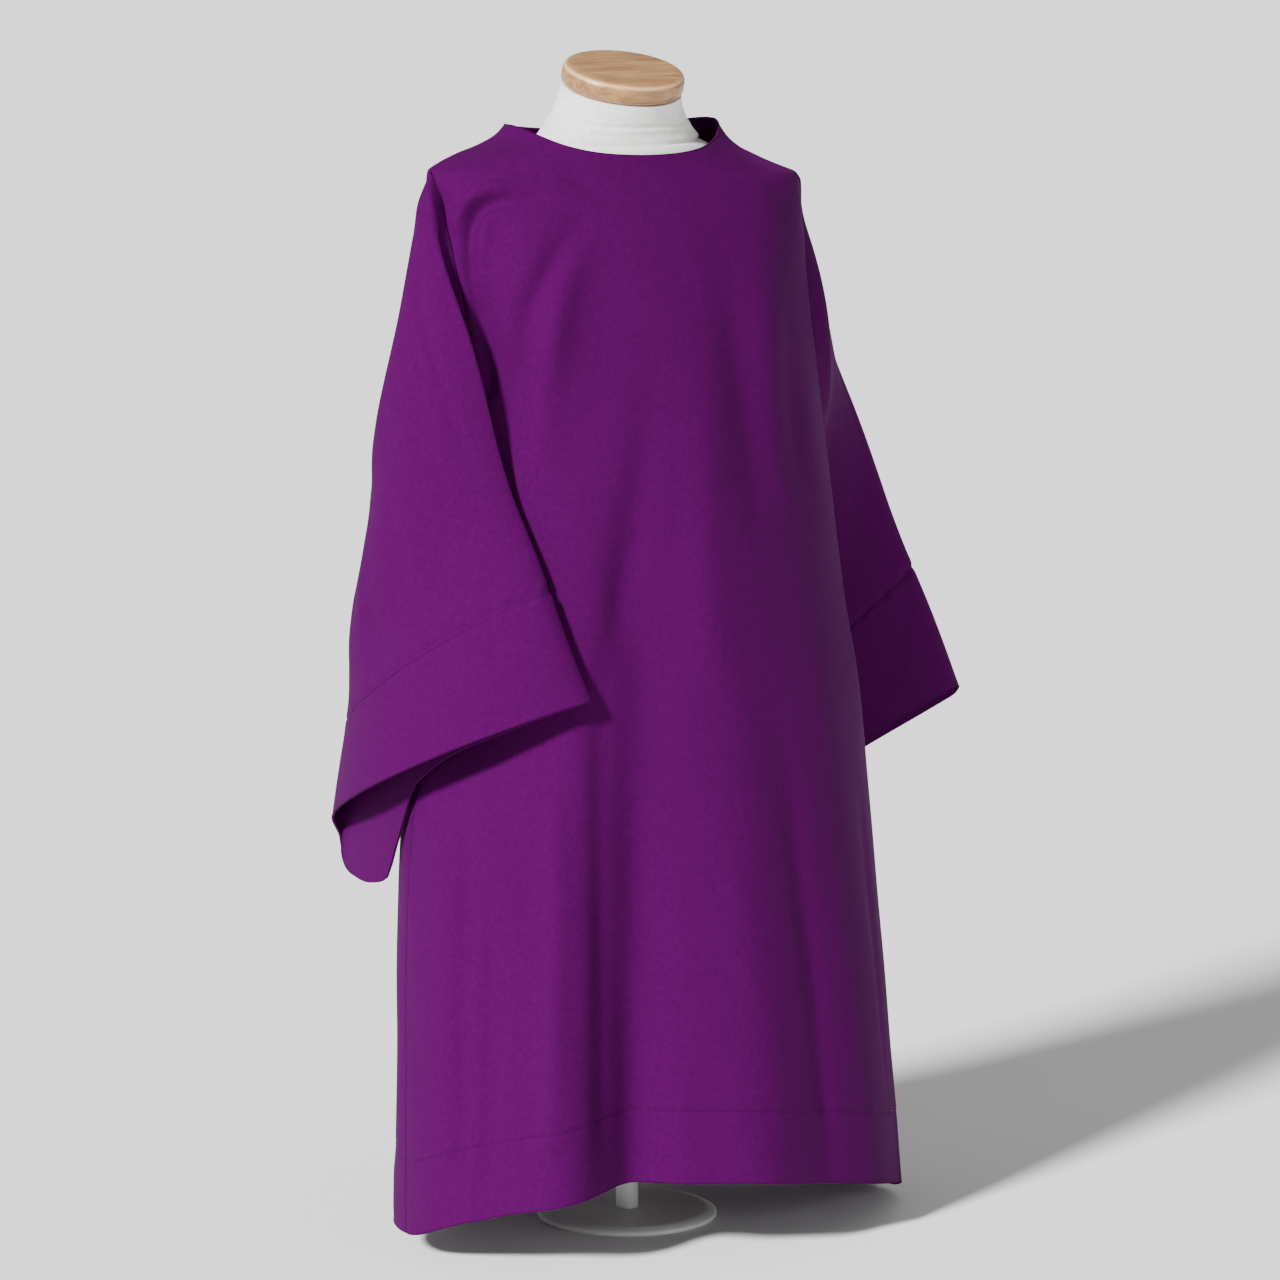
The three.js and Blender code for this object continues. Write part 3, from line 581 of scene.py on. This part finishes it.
# How far the cuff sags: degrees round it (0 is its top fold, 180 the underarm), and the sag.
SAGS = {
    -1: ((0, 0), (130, 0), (152, 2), (166, 7), (180, 20), (194, 45), (208, 66), (222, 82), (235, 97),
        (247, 104),
         (256, 60), (265, 14), (285, 0), (360, 0)),
    1: ((0, 0), (22, 7), (90, 9), (150, 7), (180, 5), (208, 15), (228, 20), (248, 15), (276, 4), (310, 0),
        (360, 0)),
}
FOLD_RADIUS, BOW = 7, 1.7
ARMHOLE_ROWS = (868, 884, 908, 938, 972, 1008, 1044, 1078, 1106, 1130, 1148, 1160)
RINGS, AROUND = 16, 132


def armhole_ring(side, phi):
    """The seam, down the back edge of the armhole and up its front edge."""
    up = [z for z in ARMHOLE_ROWS if z < SHOULDER_Z[side]]
    loop = [SHOULDER_Z[side] - 1.5, *up[::-1], UNDERARM_Z + 1.5, *up, SHOULDER_Z[side] - 1.5]
    z = np.interp(phi / 360 * (len(loop) - 1), np.arange(len(loop)), loop)
    turn = np.where(phi <= 180, 1, -1)
    gap = armhole_gap(z, side)
    angle = side * (90 + turn * np.maximum(gap - 2 * SEAM_ANGLE, 0))
    return body(angle, z), body_normal(side * (90 + turn * gap), z)


def section(side, share, phi):
    """One section of a sleeve: its share of the way to the cuff, and degrees round it."""
    table = [((i + 1) / 8, *row) for i, row in enumerate(SLEEVES[side])]
    tx, ty, tz, ux, uy, uz, ox, oy, ix, iy = (float(read(table, k, share)) for k in range(1, 11))
    top, under = np.array([tx, ty, tz]), np.array([ux, uy, uz])
    bow = np.array([ox + ix, oy + iy, 0]) / 2
    opening = np.array([ox - ix, oy - iy, 0]) / 2
    half = np.linalg.norm(opening)
    s = np.sin(np.radians(phi))
    part = (1 - np.cos(np.radians(phi)))[:, None] / 2
    thick = FOLD_RADIUS * (1 - (1 - np.abs(s)) ** 6) + half * np.abs(s) ** 1.2
    points = top + (under - top) * part + bow * (np.abs(s) ** BOW)[:, None]
    points = points + (opening / half) * (np.sign(s) * thick)[:, None]
    points[:, 2] -= read(SAGS[side], 1, phi) * share**3
    return points


def through(rows, steps):
    """More rows by a smooth curve through the ones given."""
    out = []
    last = len(rows) - 1
    for i in range(last):
        a, b, c, d = (rows[min(max(k, 0), last)] for k in (i - 1, i, i + 1, i + 2))
        for t in np.arange(steps) / steps:
            out.append(0.5 * (2 * b + (c - a) * t + (2 * a - 5 * b + 4 * c - d) * t**2 + (3 * b - a - 3 * c + d) * t**3))
    out.append(rows[last])
    return np.array(out)


# %% [markdown]
# A sleeve has creases of its own, given by the share of the way to the cuff, degrees round the
# section (0 is the top fold, 90 the layer behind), height and half width. The right sleeve has a
# long soft line beside its top fold, from years of lying pressed.

# %% The creases of the sleeves
SLEEVE_CREASES = {
    -1: (((0.14, 24, 0, 6), (0.2, 30, -1.6, 6), (0.32, 34, -2.2, 7), (0.44, 33, -2.2, 7), (0.55, 28, -1.6, 7),
        (0.64, 20, 0, 6)),
         ((0.3, 60, 0, 16), (0.45, 66, 2.5, 18), (0.62, 68, 3, 20), (0.8, 66, 0, 20)),
         ((0.35, 105, 0, 18), (0.5, 108, -3, 20), (0.7, 104, -3, 20), (0.88, 98, 0, 20)),
         ((0.28, 140, 0, 14), (0.42, 132, -4, 14), (0.56, 130, -4, 14), (0.72, 128, 0, 14)),
         ((0.3, 235, 0, 14), (0.45, 240, -3, 14), (0.6, 244, -3, 14), (0.75, 246, 0, 14)),
         ((0.24, 300, 0, 12), (0.4, 304, 3, 14), (0.6, 306, 2, 14), (0.8, 306, 0, 14))),
    1: (((0.16, 336, 0, 6), (0.3, 330, -1.5, 7), (0.5, 330, -1.6, 7), (0.66, 336, 0, 6)),
        ((0.3, 290, 0, 16), (0.5, 288, 2.5, 18), (0.72, 284, 0, 18)),
        ((0.28, 60, 0, 14), (0.42, 66, -3, 16), (0.6, 68, -3, 16), (0.78, 70, 0, 16)),
        ((0.3, 120, 0, 14), (0.5, 122, 3, 16), (0.74, 120, 0, 16))),
}
CUFF_STITCH = 0.81


def sleeve(side, seed):
    phi = np.arange(AROUND) * 360 / AROUND
    first, first_normal = armhole_ring(side, phi)
    shares = 1 / 8 + (1 - 1 / 8) * np.arange(RINGS) / (RINGS - 1)
    rows = np.array([first] + [section(side, s, phi) for s in shares])
    smoothed = rows.copy()
    for _ in range(2):
        smoothed[2:-1] = smoothed[2:-1] * 0.5 + (smoothed[1:-2] + smoothed[3:]) * 0.25
    steps = 11
    points = through(smoothed, steps)
    share = np.concatenate([np.linspace(0, 1 / 8, steps, endpoint=False),
        np.linspace(1 / 8, 1, len(points) - steps)])
    normal = grid_normals(points, True)
    if (normal[0] * first_normal).sum() < 0:
        normal = -normal
    fade = smooth(0, 6, np.arange(len(points)))[:, None, None]
    normal = unit(normal * fade + first_normal[None] * (1 - fade))
    where = lambda at, turn: np.array([points[int(np.abs(share - a).argmin()),
        int(round(p / 360 * AROUND)) % AROUND]
                                       for a, p in zip(at, turn)])
    out = np.zeros(points.shape[:2])
    for crease in SLEEVE_CREASES[side]:
        path, high, width = fine_path(crease, where)
        layer = (phi < 180) == (crease[0][1] < 180)
        out += press(points, path, high, width) * layer
    threads = thread_lengths(points, True)[:, :-1] * 1000
    tip = smooth(0, 12, np.minimum(np.abs(apart(phi, 0)), np.abs(apart(phi, 180))))
    out *= tip
    out += 0.9 * ripple(threads[..., 0], threads[..., 1], seed) * smooth(0.1, 0.25, share)[:, None] * tip
    length = np.linalg.norm(np.diff(points, axis=0), axis=-1).mean(1).sum()
    out += pucker(((share - CUFF_STITCH) * length * 1.1)[:, None], threads[..., 0] + 900, seed + 1, reach=3.6,
        depth=1.5)
    points = points + normal * out[..., None]
    fresh = grid_normals(points, True)
    if (fresh * normal).sum() < 0:
        fresh = -fresh
    normal = unit(fresh * fade + first_normal[None] * (1 - fade))
    return points, normal, share


sleeves = {}
for side, word in ((-1, "right"), (1, "left")):
    points, normal, share = sleeve(side, 31 + side)
    start = int(np.searchsorted(share, CUFF_STITCH))
    sleeves[side] = (points, normal, start)
    cloth = shell(f"sleeve_{word}_cloth", points, normal, CLOTH, True, violet)
    cuff = turn_up(f"cuff_hem_{word}_cloth", points[start:][::-1], normal[start:][::-1])

# %% [markdown]
# ## The dress form
# A form is a padded torso without limbs, covered in stretched jersey and closed at the neck by
# a turned wooden cap. It is modelled as rings at a few heights, joined smoothly, because a
# form is symmetric and its size matters more than its detail: the cloth hangs from it.

# %% Form and neck
FORM = ((420, 146, -90, 92), (428, 156, -98, 100), (520, 171, -108, 112), (600, 173, -111, 116),
        (700, 150, -100, 100), (780, 132, -92, 88), (860, 140, -104, 92), (940, 157, -120, 100),
        (1000, 164, -120, 106), (1060, 172, -101, 106), (1100, 182, -84, 100), (1128, 188, -69, 94),
        (1144, 184, -60, 90), (1156, 168, -54, 88), (1166, 148, -51, 86), (1178, 128, -47, 84),
        (1192, 108, -44, 82))
NECK = ((1204, 20, 95, 61, 4), (1216, 19, 85, 60, 8), (1230, 16.5, 76, 60, 13), (1243, 14, 70, 61, 17),
        (1255, 11.5, 67, 61.5, 17))
CAP = ((0.4, -3), (2.4, -0.4), (7, 1.4), (16, 1.2), (20.5, -0.6), (23, -4), (24, -10))


def ring(half, deep, y, z, tilt=0.0, count=120):
    a = np.arange(count) * 2 * np.pi / count
    d = deep * np.sin(a)
    tilt = math.radians(tilt)
    return np.stack([half * np.cos(a), y + d * math.cos(tilt), z + d * math.sin(tilt)], 1)


def closed_loft(name, rings, material, end_rows=5):
    """A solid through the rings, with its ends closed by shrinking rings."""
    first, last = rings[0], rings[-1]
    start = [first.mean(0) + (first - first.mean(0)) * k for k in np.linspace(0.02, 0.96, end_rows)]
    end = [last.mean(0) + (last - last.mean(0)) * k for k in np.linspace(0.96, 0.02, end_rows)]
    grid = np.array([*start, *rings, *end])
    rows, columns = grid.shape[:2]
    i, j = (v.ravel() for v in np.meshgrid(np.arange(rows - 1), np.arange(columns), indexing="ij"))
    k = (j + 1) % columns
    faces = np.stack([i * columns + j, i * columns + k, (i + 1) * columns + k, (i + 1) * columns + j],
        1).tolist()
    faces.append(list(range(columns))[::-1])
    faces.append([(rows - 1) * columns + c for c in range(columns)])
    uv = thread_lengths(grid, True)
    maps = np.stack([uv[i, j], uv[i, j + 1], uv[i + 1, j + 1], uv[i + 1, j]], 1).reshape(-1, 2)
    maps = np.concatenate([maps, np.repeat(uv[0, :1], columns, 0), np.repeat(uv[-1, :1], columns, 0)])
    mesh = bpy.data.meshes.new(name)
    mesh.from_pydata((grid.reshape(-1, 3) / 1000).tolist(), [], faces)
    mesh.uv_layers.new(name="threads").data.foreach_set("uv", maps.ravel().astype(np.float32))
    mesh.materials.append(material)
    mesh.shade_smooth()
    mesh.set_sharp_from_angle(angle=math.radians(50))
    piece = bpy.data.objects.new(name, mesh)
    bpy.context.scene.collection.objects.link(piece)
    print(f"{name}: {len(faces)} faces")
    return piece


torso = [ring(read(FORM, 1, z), (read(FORM, 3, z) - read(FORM, 2, z)) / 2,
    (read(FORM, 3, z) + read(FORM, 2, z)) / 2, z)
         for z in np.concatenate([[420, 422, 425], np.linspace(429, 1192, 90)])]
neck = [ring(read(NECK, 2, z), read(NECK, 3, z), read(NECK, 1, z), z, float(read(NECK, 4, z)))
        for z in np.concatenate([np.linspace(1199, 1253.6, 34), [1254.4, 1255]])]

# %% [markdown]
# The cover is sewn to the neck in a shallow band, so a thin line runs round it, and the cloth
# below the line keeps a few small puckers. They are pressed into the rings before the solid is
# made.

# %% The neck's seam
turns = np.arange(120) * 3.0
for r in neck:
    low = r[:, 2] - (1224 + 0.16 * (r[:, 1] - 16))
    centre = r.mean(0)
    away = unit((r - centre) * (1, 1, 0))
    seam = -1.3 * bell(low, 2.2) + 0.5 * bell(low + 5, 4)
    folds = -0.7 * bell(low + 11, 8) * (0.5 + 0.5 * np.sin(np.radians(turns * 11 + 40 * np.sin(np.radians(turns * 2)))))
    r += away * (seam + folds)[:, None]
form_cover = closed_loft("form_cover", torso + neck, jersey)

# %% [markdown]
# ## The wooden cap
# The cap is turned beech, lacquered, with a rounded rim that hands have rubbed paler. The rim's
# wear is stored in the mesh as a number for each point, so the material can read it: paint that
# follows the form is steadier than paint that follows a picture.

# %% Cap
cap_rows = np.concatenate([np.linspace(0.4, 16, 12), np.linspace(17.2, 24, 12)])
neck_top = NECK[-1]
tilt = math.radians(neck_top[4])
cap_rings = []
for up in cap_rows:
    wider = float(read(CAP, 1, up))
    cap_rings.append(ring(neck_top[2] + wider, neck_top[3] + wider, neck_top[1] - up * math.sin(tilt),
                          neck_top[0] + up * math.cos(tilt), neck_top[4]))


def wood_material():
    material = bpy.data.materials.new("lacquered_beech")
    material.use_nodes = True
    tree = material.node_tree
    principled = tree.nodes["Principled BSDF"]
    place = add(tree, "ShaderNodeTexCoord")
    along = add(tree, "ShaderNodeMapping", In_Vector=place.outputs["Object"])
    along.inputs["Scale"].default_value = (7, 60, 60)
    along.inputs["Rotation"].default_value = (tilt, 0, 0.25)
    grain = add(tree, "ShaderNodeTexNoise", In_Vector=along.outputs[0], In_Scale=1.6, In_Detail=6.0,
        In_Roughness=0.62, In_Distortion=0.5)
    flecks = add(tree, "ShaderNodeTexNoise", In_Vector=along.outputs[0], In_Scale=9.0, In_Detail=3.0)
    ramp = add(tree, "ShaderNodeValToRGB", In_0=grain.outputs[0])
    ramp.color_ramp.elements[0].position, ramp.color_ramp.elements[0].color = 0.33, (0.20, 0.090, 0.028, 1)
    ramp.color_ramp.elements[1].position, ramp.color_ramp.elements[1].color = 0.68, (0.40, 0.215, 0.078, 1)
    dark = add(tree, "ShaderNodeMapRange", In_Value=flecks.outputs[0])
    dark.inputs["From Min"].default_value, dark.inputs["From Max"].default_value = 0.35, 0.6
    dark.inputs["To Min"].default_value, dark.inputs["To Max"].default_value = 0.86, 1.04
    stain = add(tree, "ShaderNodeMix", data_type="RGBA", blend_type="MULTIPLY")
    stain.inputs["Factor"].default_value = 1.0
    tree.links.new(ramp.outputs[0], stain.inputs[6])
    tree.links.new(dark.outputs[0], stain.inputs[7])
    wear = add(tree, "ShaderNodeAttribute", attribute_name="worn")
    patchy = add(tree, "ShaderNodeMath", operation="MULTIPLY", In_0=wear.outputs["Fac"], In_1=dark.outputs[0])
    rubbed = add(tree, "ShaderNodeMix", data_type="RGBA", In_0=patchy.outputs[0])
    tree.links.new(stain.outputs[2], rubbed.inputs[6])
    rubbed.inputs[7].default_value = (0.66, 0.46, 0.24, 1)
    tree.links.new(rubbed.outputs[2], principled.inputs["Base Color"])
    bump = add(tree, "ShaderNodeBump", In_Strength=0.6, In_Distance=0.0003, In_Height=grain.outputs[0])
    tree.links.new(bump.outputs[0], principled.inputs["Normal"])
    principled.inputs["Roughness"].default_value = 0.42
    principled.inputs["Coat Weight"].default_value = 0.15
    return material


wood = wood_material()
neck_cap = closed_loft("neck_cap_wood", cap_rings, wood, end_rows=8)
cap_points = np.array([v.co for v in neck_cap.data.vertices]) * 1000
lift = (cap_points[:, 2] - neck_top[0]) * math.cos(tilt) - (cap_points[:, 1] - neck_top[1]) * math.sin(tilt)
reach = np.hypot(cap_points[:, 0], (cap_points[:, 1] - neck_top[1]) * math.cos(tilt) + (cap_points[:,
    2] - neck_top[0]) * math.sin(tilt))
worn = bell(lift - 20.6, 1.6) * smooth(52, 62, reach) * 0.8 + bell(lift - 3, 1.5) * 0.25
neck_cap.data.attributes.new("worn", "FLOAT", "POINT").data.foreach_set("value", worn.astype(np.float32))
print("cap worn up to", round(float(worn.max()), 2))

# %% [markdown]
# ## The stand
# A steel pole on a round plate, powder-coated pale grey. Both are turned shapes: a profile swung
# round the axis, with its corners rounded so they catch a thin line of light.

# %% Pole and base
paint = bpy.data.materials.new("pale_powder_coat")
paint.use_nodes = True
coat = paint.node_tree.nodes["Principled BSDF"]
coat.inputs["Base Color"].default_value = (0.80, 0.80, 0.79, 1)
coat.inputs["Roughness"].default_value = 0.42
orange_peel = add(paint.node_tree, "ShaderNodeTexNoise", In_Scale=900.0, In_Detail=1.0)
peel_place = add(paint.node_tree, "ShaderNodeTexCoord")
paint.node_tree.links.new(peel_place.outputs["Object"], orange_peel.inputs["Vector"])
peel = add(paint.node_tree, "ShaderNodeBump", In_Strength=0.4, In_Distance=0.0001,
    In_Height=orange_peel.outputs[0])
paint.node_tree.links.new(peel.outputs[0], coat.inputs["Normal"])


def turned(name, profile):
    return closed_loft(name, [ring(r, r, 0, z, count=96) for r, z in profile], paint)


stand_base = turned("stand_base_paint", ((98.5, 0), (99.6, 0.4), (100, 1.5), (100, 3), (99.5, 4.2), (97, 5.5),
    (92, 7.2), (88, 8)))
stand_pole = turned("stand_pole_paint", ((12.5, 8.3), (12.5, 9), (12.5, 60), (12.5, 200), (12.5, 350),
    (12.5, 419), (12.5, 419.7)))

# %% [markdown]
# ## Stitches
# A seam is one short stitch, repeated a few hundred times: that is work for Geometry Nodes. The
# tree takes a line, sets a point every few millimetres along it, puts a thread-sized stitch on
# each point and turns it into the line. Pitch, thread and length are named inputs, so one tree
# serves the hem, the cuffs and the neck. At the end the stitches are made real and joined, and
# the modifier is gone.

# %% The stitch tree
thread = violet.copy()
thread.name = "violet_thread"
thread.node_tree.nodes["Principled BSDF"].inputs["Roughness"].default_value = 0.5
stitch_tree = bpy.data.node_groups.new("stitches", "GeometryNodeTree")
face = stitch_tree.interface
face.new_socket("Geometry", in_out="INPUT", socket_type="NodeSocketGeometry")
for title, value in (("Pitch", 0.004), ("Thread", 0.0005), ("Length", 0.003)):
    face.new_socket(title, in_out="INPUT", socket_type="NodeSocketFloat").default_value = value
face.new_socket("Material", in_out="INPUT", socket_type="NodeSocketMaterial")
face.new_socket("Geometry", in_out="OUTPUT", socket_type="NodeSocketGeometry")
given = stitch_tree.nodes.new("NodeGroupInput")
result = stitch_tree.nodes.new("NodeGroupOutput")
line = add(stitch_tree, "GeometryNodeMeshToCurve", In_Mesh=given.outputs["Geometry"])
spots = add(stitch_tree, "GeometryNodeCurveToPoints", mode="LENGTH", In_Curve=line.outputs[0],
    In_Length=given.outputs["Pitch"])
one = add(stitch_tree, "GeometryNodeMeshCylinder", In_Vertices=6, In_Radius=given.outputs["Thread"],
    In_Depth=given.outputs["Length"])
rows = add(stitch_tree, "GeometryNodeInstanceOnPoints", In_Points=spots.outputs["Points"],
    In_Instance=one.outputs["Mesh"], In_Rotation=spots.outputs["Rotation"])
real = add(stitch_tree, "GeometryNodeRealizeInstances", In_Geometry=rows.outputs[0])
made = add(stitch_tree, "GeometryNodeSetMaterial", In_Geometry=real.outputs[0],
    In_Material=given.outputs["Material"])
stitch_tree.links.new(made.outputs[0], result.inputs["Geometry"])
print("stitch tree:", len(stitch_tree.nodes), "nodes")


# %% [markdown]
# Each line of stitching is taken from the cloth's own points, lifted half a thread outwards, so
# it lies in the pucker that it made.


# %% Stitch lines
def stitch_line(name, points, normal, closed, pitch=4.0, long=3.0, lift=0.15):
    line = (points + normal * lift) / 1000
    edges = [(i, i + 1) for i in range(len(line) - 1)] + ([(len(line) - 1, 0)] if closed else [])
    mesh = bpy.data.meshes.new(name)
    mesh.from_pydata(line.tolist(), edges, [])
    piece = bpy.data.objects.new(name, mesh)
    bpy.context.scene.collection.objects.link(piece)
    modifier = piece.modifiers.new("stitches", "NODES")
    modifier.node_group = stitch_tree
    values = {"Pitch": pitch / 1000, "Thread": 0.00045, "Length": long / 1000, "Material": thread}
    for item in stitch_tree.interface.items_tree:
        if item.in_out == "INPUT" and item.name in values:
            modifier[item.identifier] = values[item.name]
    bpy.context.view_layer.update()
    evaluated = piece.evaluated_get(bpy.context.evaluated_depsgraph_get())
    finished = bpy.data.meshes.new_from_object(evaluated)
    piece.modifiers.clear()
    piece.data = finished
    finished.name = name
    print(f"{name}: {len(finished.polygons)} faces")
    return piece


stitches = []
hem_row, neck_row = int(np.searchsorted(ROWS, HEM_STITCH)), int(np.searchsorted(ROWS, NECK_STITCH))
stitches.append(stitch_line("hem_stitches", both[hem_row], both_normal[hem_row], True))
stitches.append(stitch_line("neck_stitches", both[neck_row], both_normal[neck_row], True, pitch=3.2, long=2.3,
    lift=-0.3))
for side, word in ((-1, "right"), (1, "left")):
    points, normal, start = sleeves[side]
    stitches.append(stitch_line(f"cuff_{word}_stitches", points[start], normal[start], True))

# %% [markdown]
# ## Materials of the record, and what each piece stands for
# Every finished piece rides on the part's one body, and the table gives for each the name of a
# material slot and the CAD node that it replaces, which is hidden. The panels and turn-ups come
# within a tenth of their cut. The sleeves come out smaller than their cut and the facing
# larger, so those three are not true patterns.

PIECES = (
    ("front_panel_cloth", "front_panel", "vestment_cloth"),
    ("back_panel_cloth", "back_panel", "vestment_cloth"),
    ("neck_facing_cloth", "neck_facing", "vestment_cloth"),
    ("skirt_hem_cloth", "skirt_hem", "vestment_cloth"),
    ("sleeve_right_cloth", "sleeve_right", "vestment_cloth"),
    ("sleeve_left_cloth", "sleeve_left", "vestment_cloth"),
    ("cuff_hem_right_cloth", "cuff_hem_right", "vestment_cloth"),
    ("cuff_hem_left_cloth", "cuff_hem_left", "vestment_cloth"),
    ("form_cover", "form_body", "form_cover"), ("neck_cap_wood", "neck_cap", "cap_wood"),
    ("stand_pole_paint", "stand_pole", "stand_paint"), ("stand_base_paint", "stand_base", "stand_paint"),
)
for name, node, finish in PIECES:
    piece = bpy.data.objects[name]
    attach(piece, "root")
    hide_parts(node)
for piece in stitches:
    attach(piece, "root")

# %% [markdown]
# ## Floor, light and camera
# A garment is shown on a pale floor: a strong lamp from the viewer's left draws the folds, and a
# weaker one on the right fills the shade with the surroundings. The camera stands six metres
# away, a little above the shoulders, with a long lens, so the garment keeps its proportions.

# %% Stage
FLOOR_TONE, SURROUNDINGS = 0.90, 0.36
KEY_PLACE, KEY_POWER, KEY_SPREAD = (-4.95, -2.0, 4.1), 9.2, 8  # metres, strength, degrees
FILL_PLACE, FILL_POWER, FILL_SIZE = (2.4, -4.6, 1.5), 55, 1.6  # metres, watts, metres
CAMERA_PLACE, CAMERA_HEADING, CAMERA_PITCH = (-2.9089, -5.2477, 1.60), 29 + 0.138, 9.0  # metres, degrees
LENS, SENSOR_WIDTH = 155.2, 36  # millimetres

floor_material = bpy.data.materials.new("pale_floor")
floor_material.use_nodes = True
floor_material.node_tree.nodes["Principled BSDF"].inputs["Base Color"].default_value = (FLOOR_TONE, FLOOR_TONE, FLOOR_TONE, 1)
floor_material.node_tree.nodes["Principled BSDF"].inputs["Roughness"].default_value = 0.9
floor_mesh = bpy.data.meshes.new("floor")
floor_mesh.from_pydata([(-80, -80, 0), (80, -80, 0), (80, 80, 0), (-80, 80, 0)], [], [(0, 1, 2, 3)])
floor_mesh.materials.append(floor_material)
floor = bpy.data.objects.new("floor", floor_mesh)
bpy.context.scene.collection.objects.link(floor)

world = bpy.data.worlds.new("studio")
bpy.context.scene.world = world
world.use_nodes = True
world.node_tree.nodes["Background"].inputs["Color"].default_value = (1, 1, 1, 1)
world.node_tree.nodes["Background"].inputs["Strength"].default_value = SURROUNDINGS


def lamp(name, kind, place, power, **settings):
    data = bpy.data.lights.new(name, kind)
    data.energy = power
    for key, value in settings.items():
        setattr(data, key, value)
    light = bpy.data.objects.new(name, data)
    light.location = place
    light.rotation_euler = (Vector((0, 0, 0.8)) - Vector(place)).to_track_quat("-Z", "Y").to_euler()
    bpy.context.scene.collection.objects.link(light)


lamp("key", "SUN", KEY_PLACE, KEY_POWER, angle=math.radians(KEY_SPREAD))
lamp("fill", "AREA", FILL_PLACE, FILL_POWER, size=FILL_SIZE)

camera_data = bpy.data.cameras.new("camera")
camera_data.lens, camera_data.sensor_width = LENS, SENSOR_WIDTH
camera = bpy.data.objects.new("camera", camera_data)
camera.location = CAMERA_PLACE
heading = math.radians(CAMERA_HEADING)
pitch = math.radians(CAMERA_PITCH)
aim = Vector((math.sin(heading) * math.cos(pitch), math.cos(heading) * math.cos(pitch), -math.sin(pitch)))
camera.rotation_euler = aim.to_track_quat("-Z", "Y").to_euler()
bpy.context.scene.collection.objects.link(camera)
bpy.context.scene.camera = camera
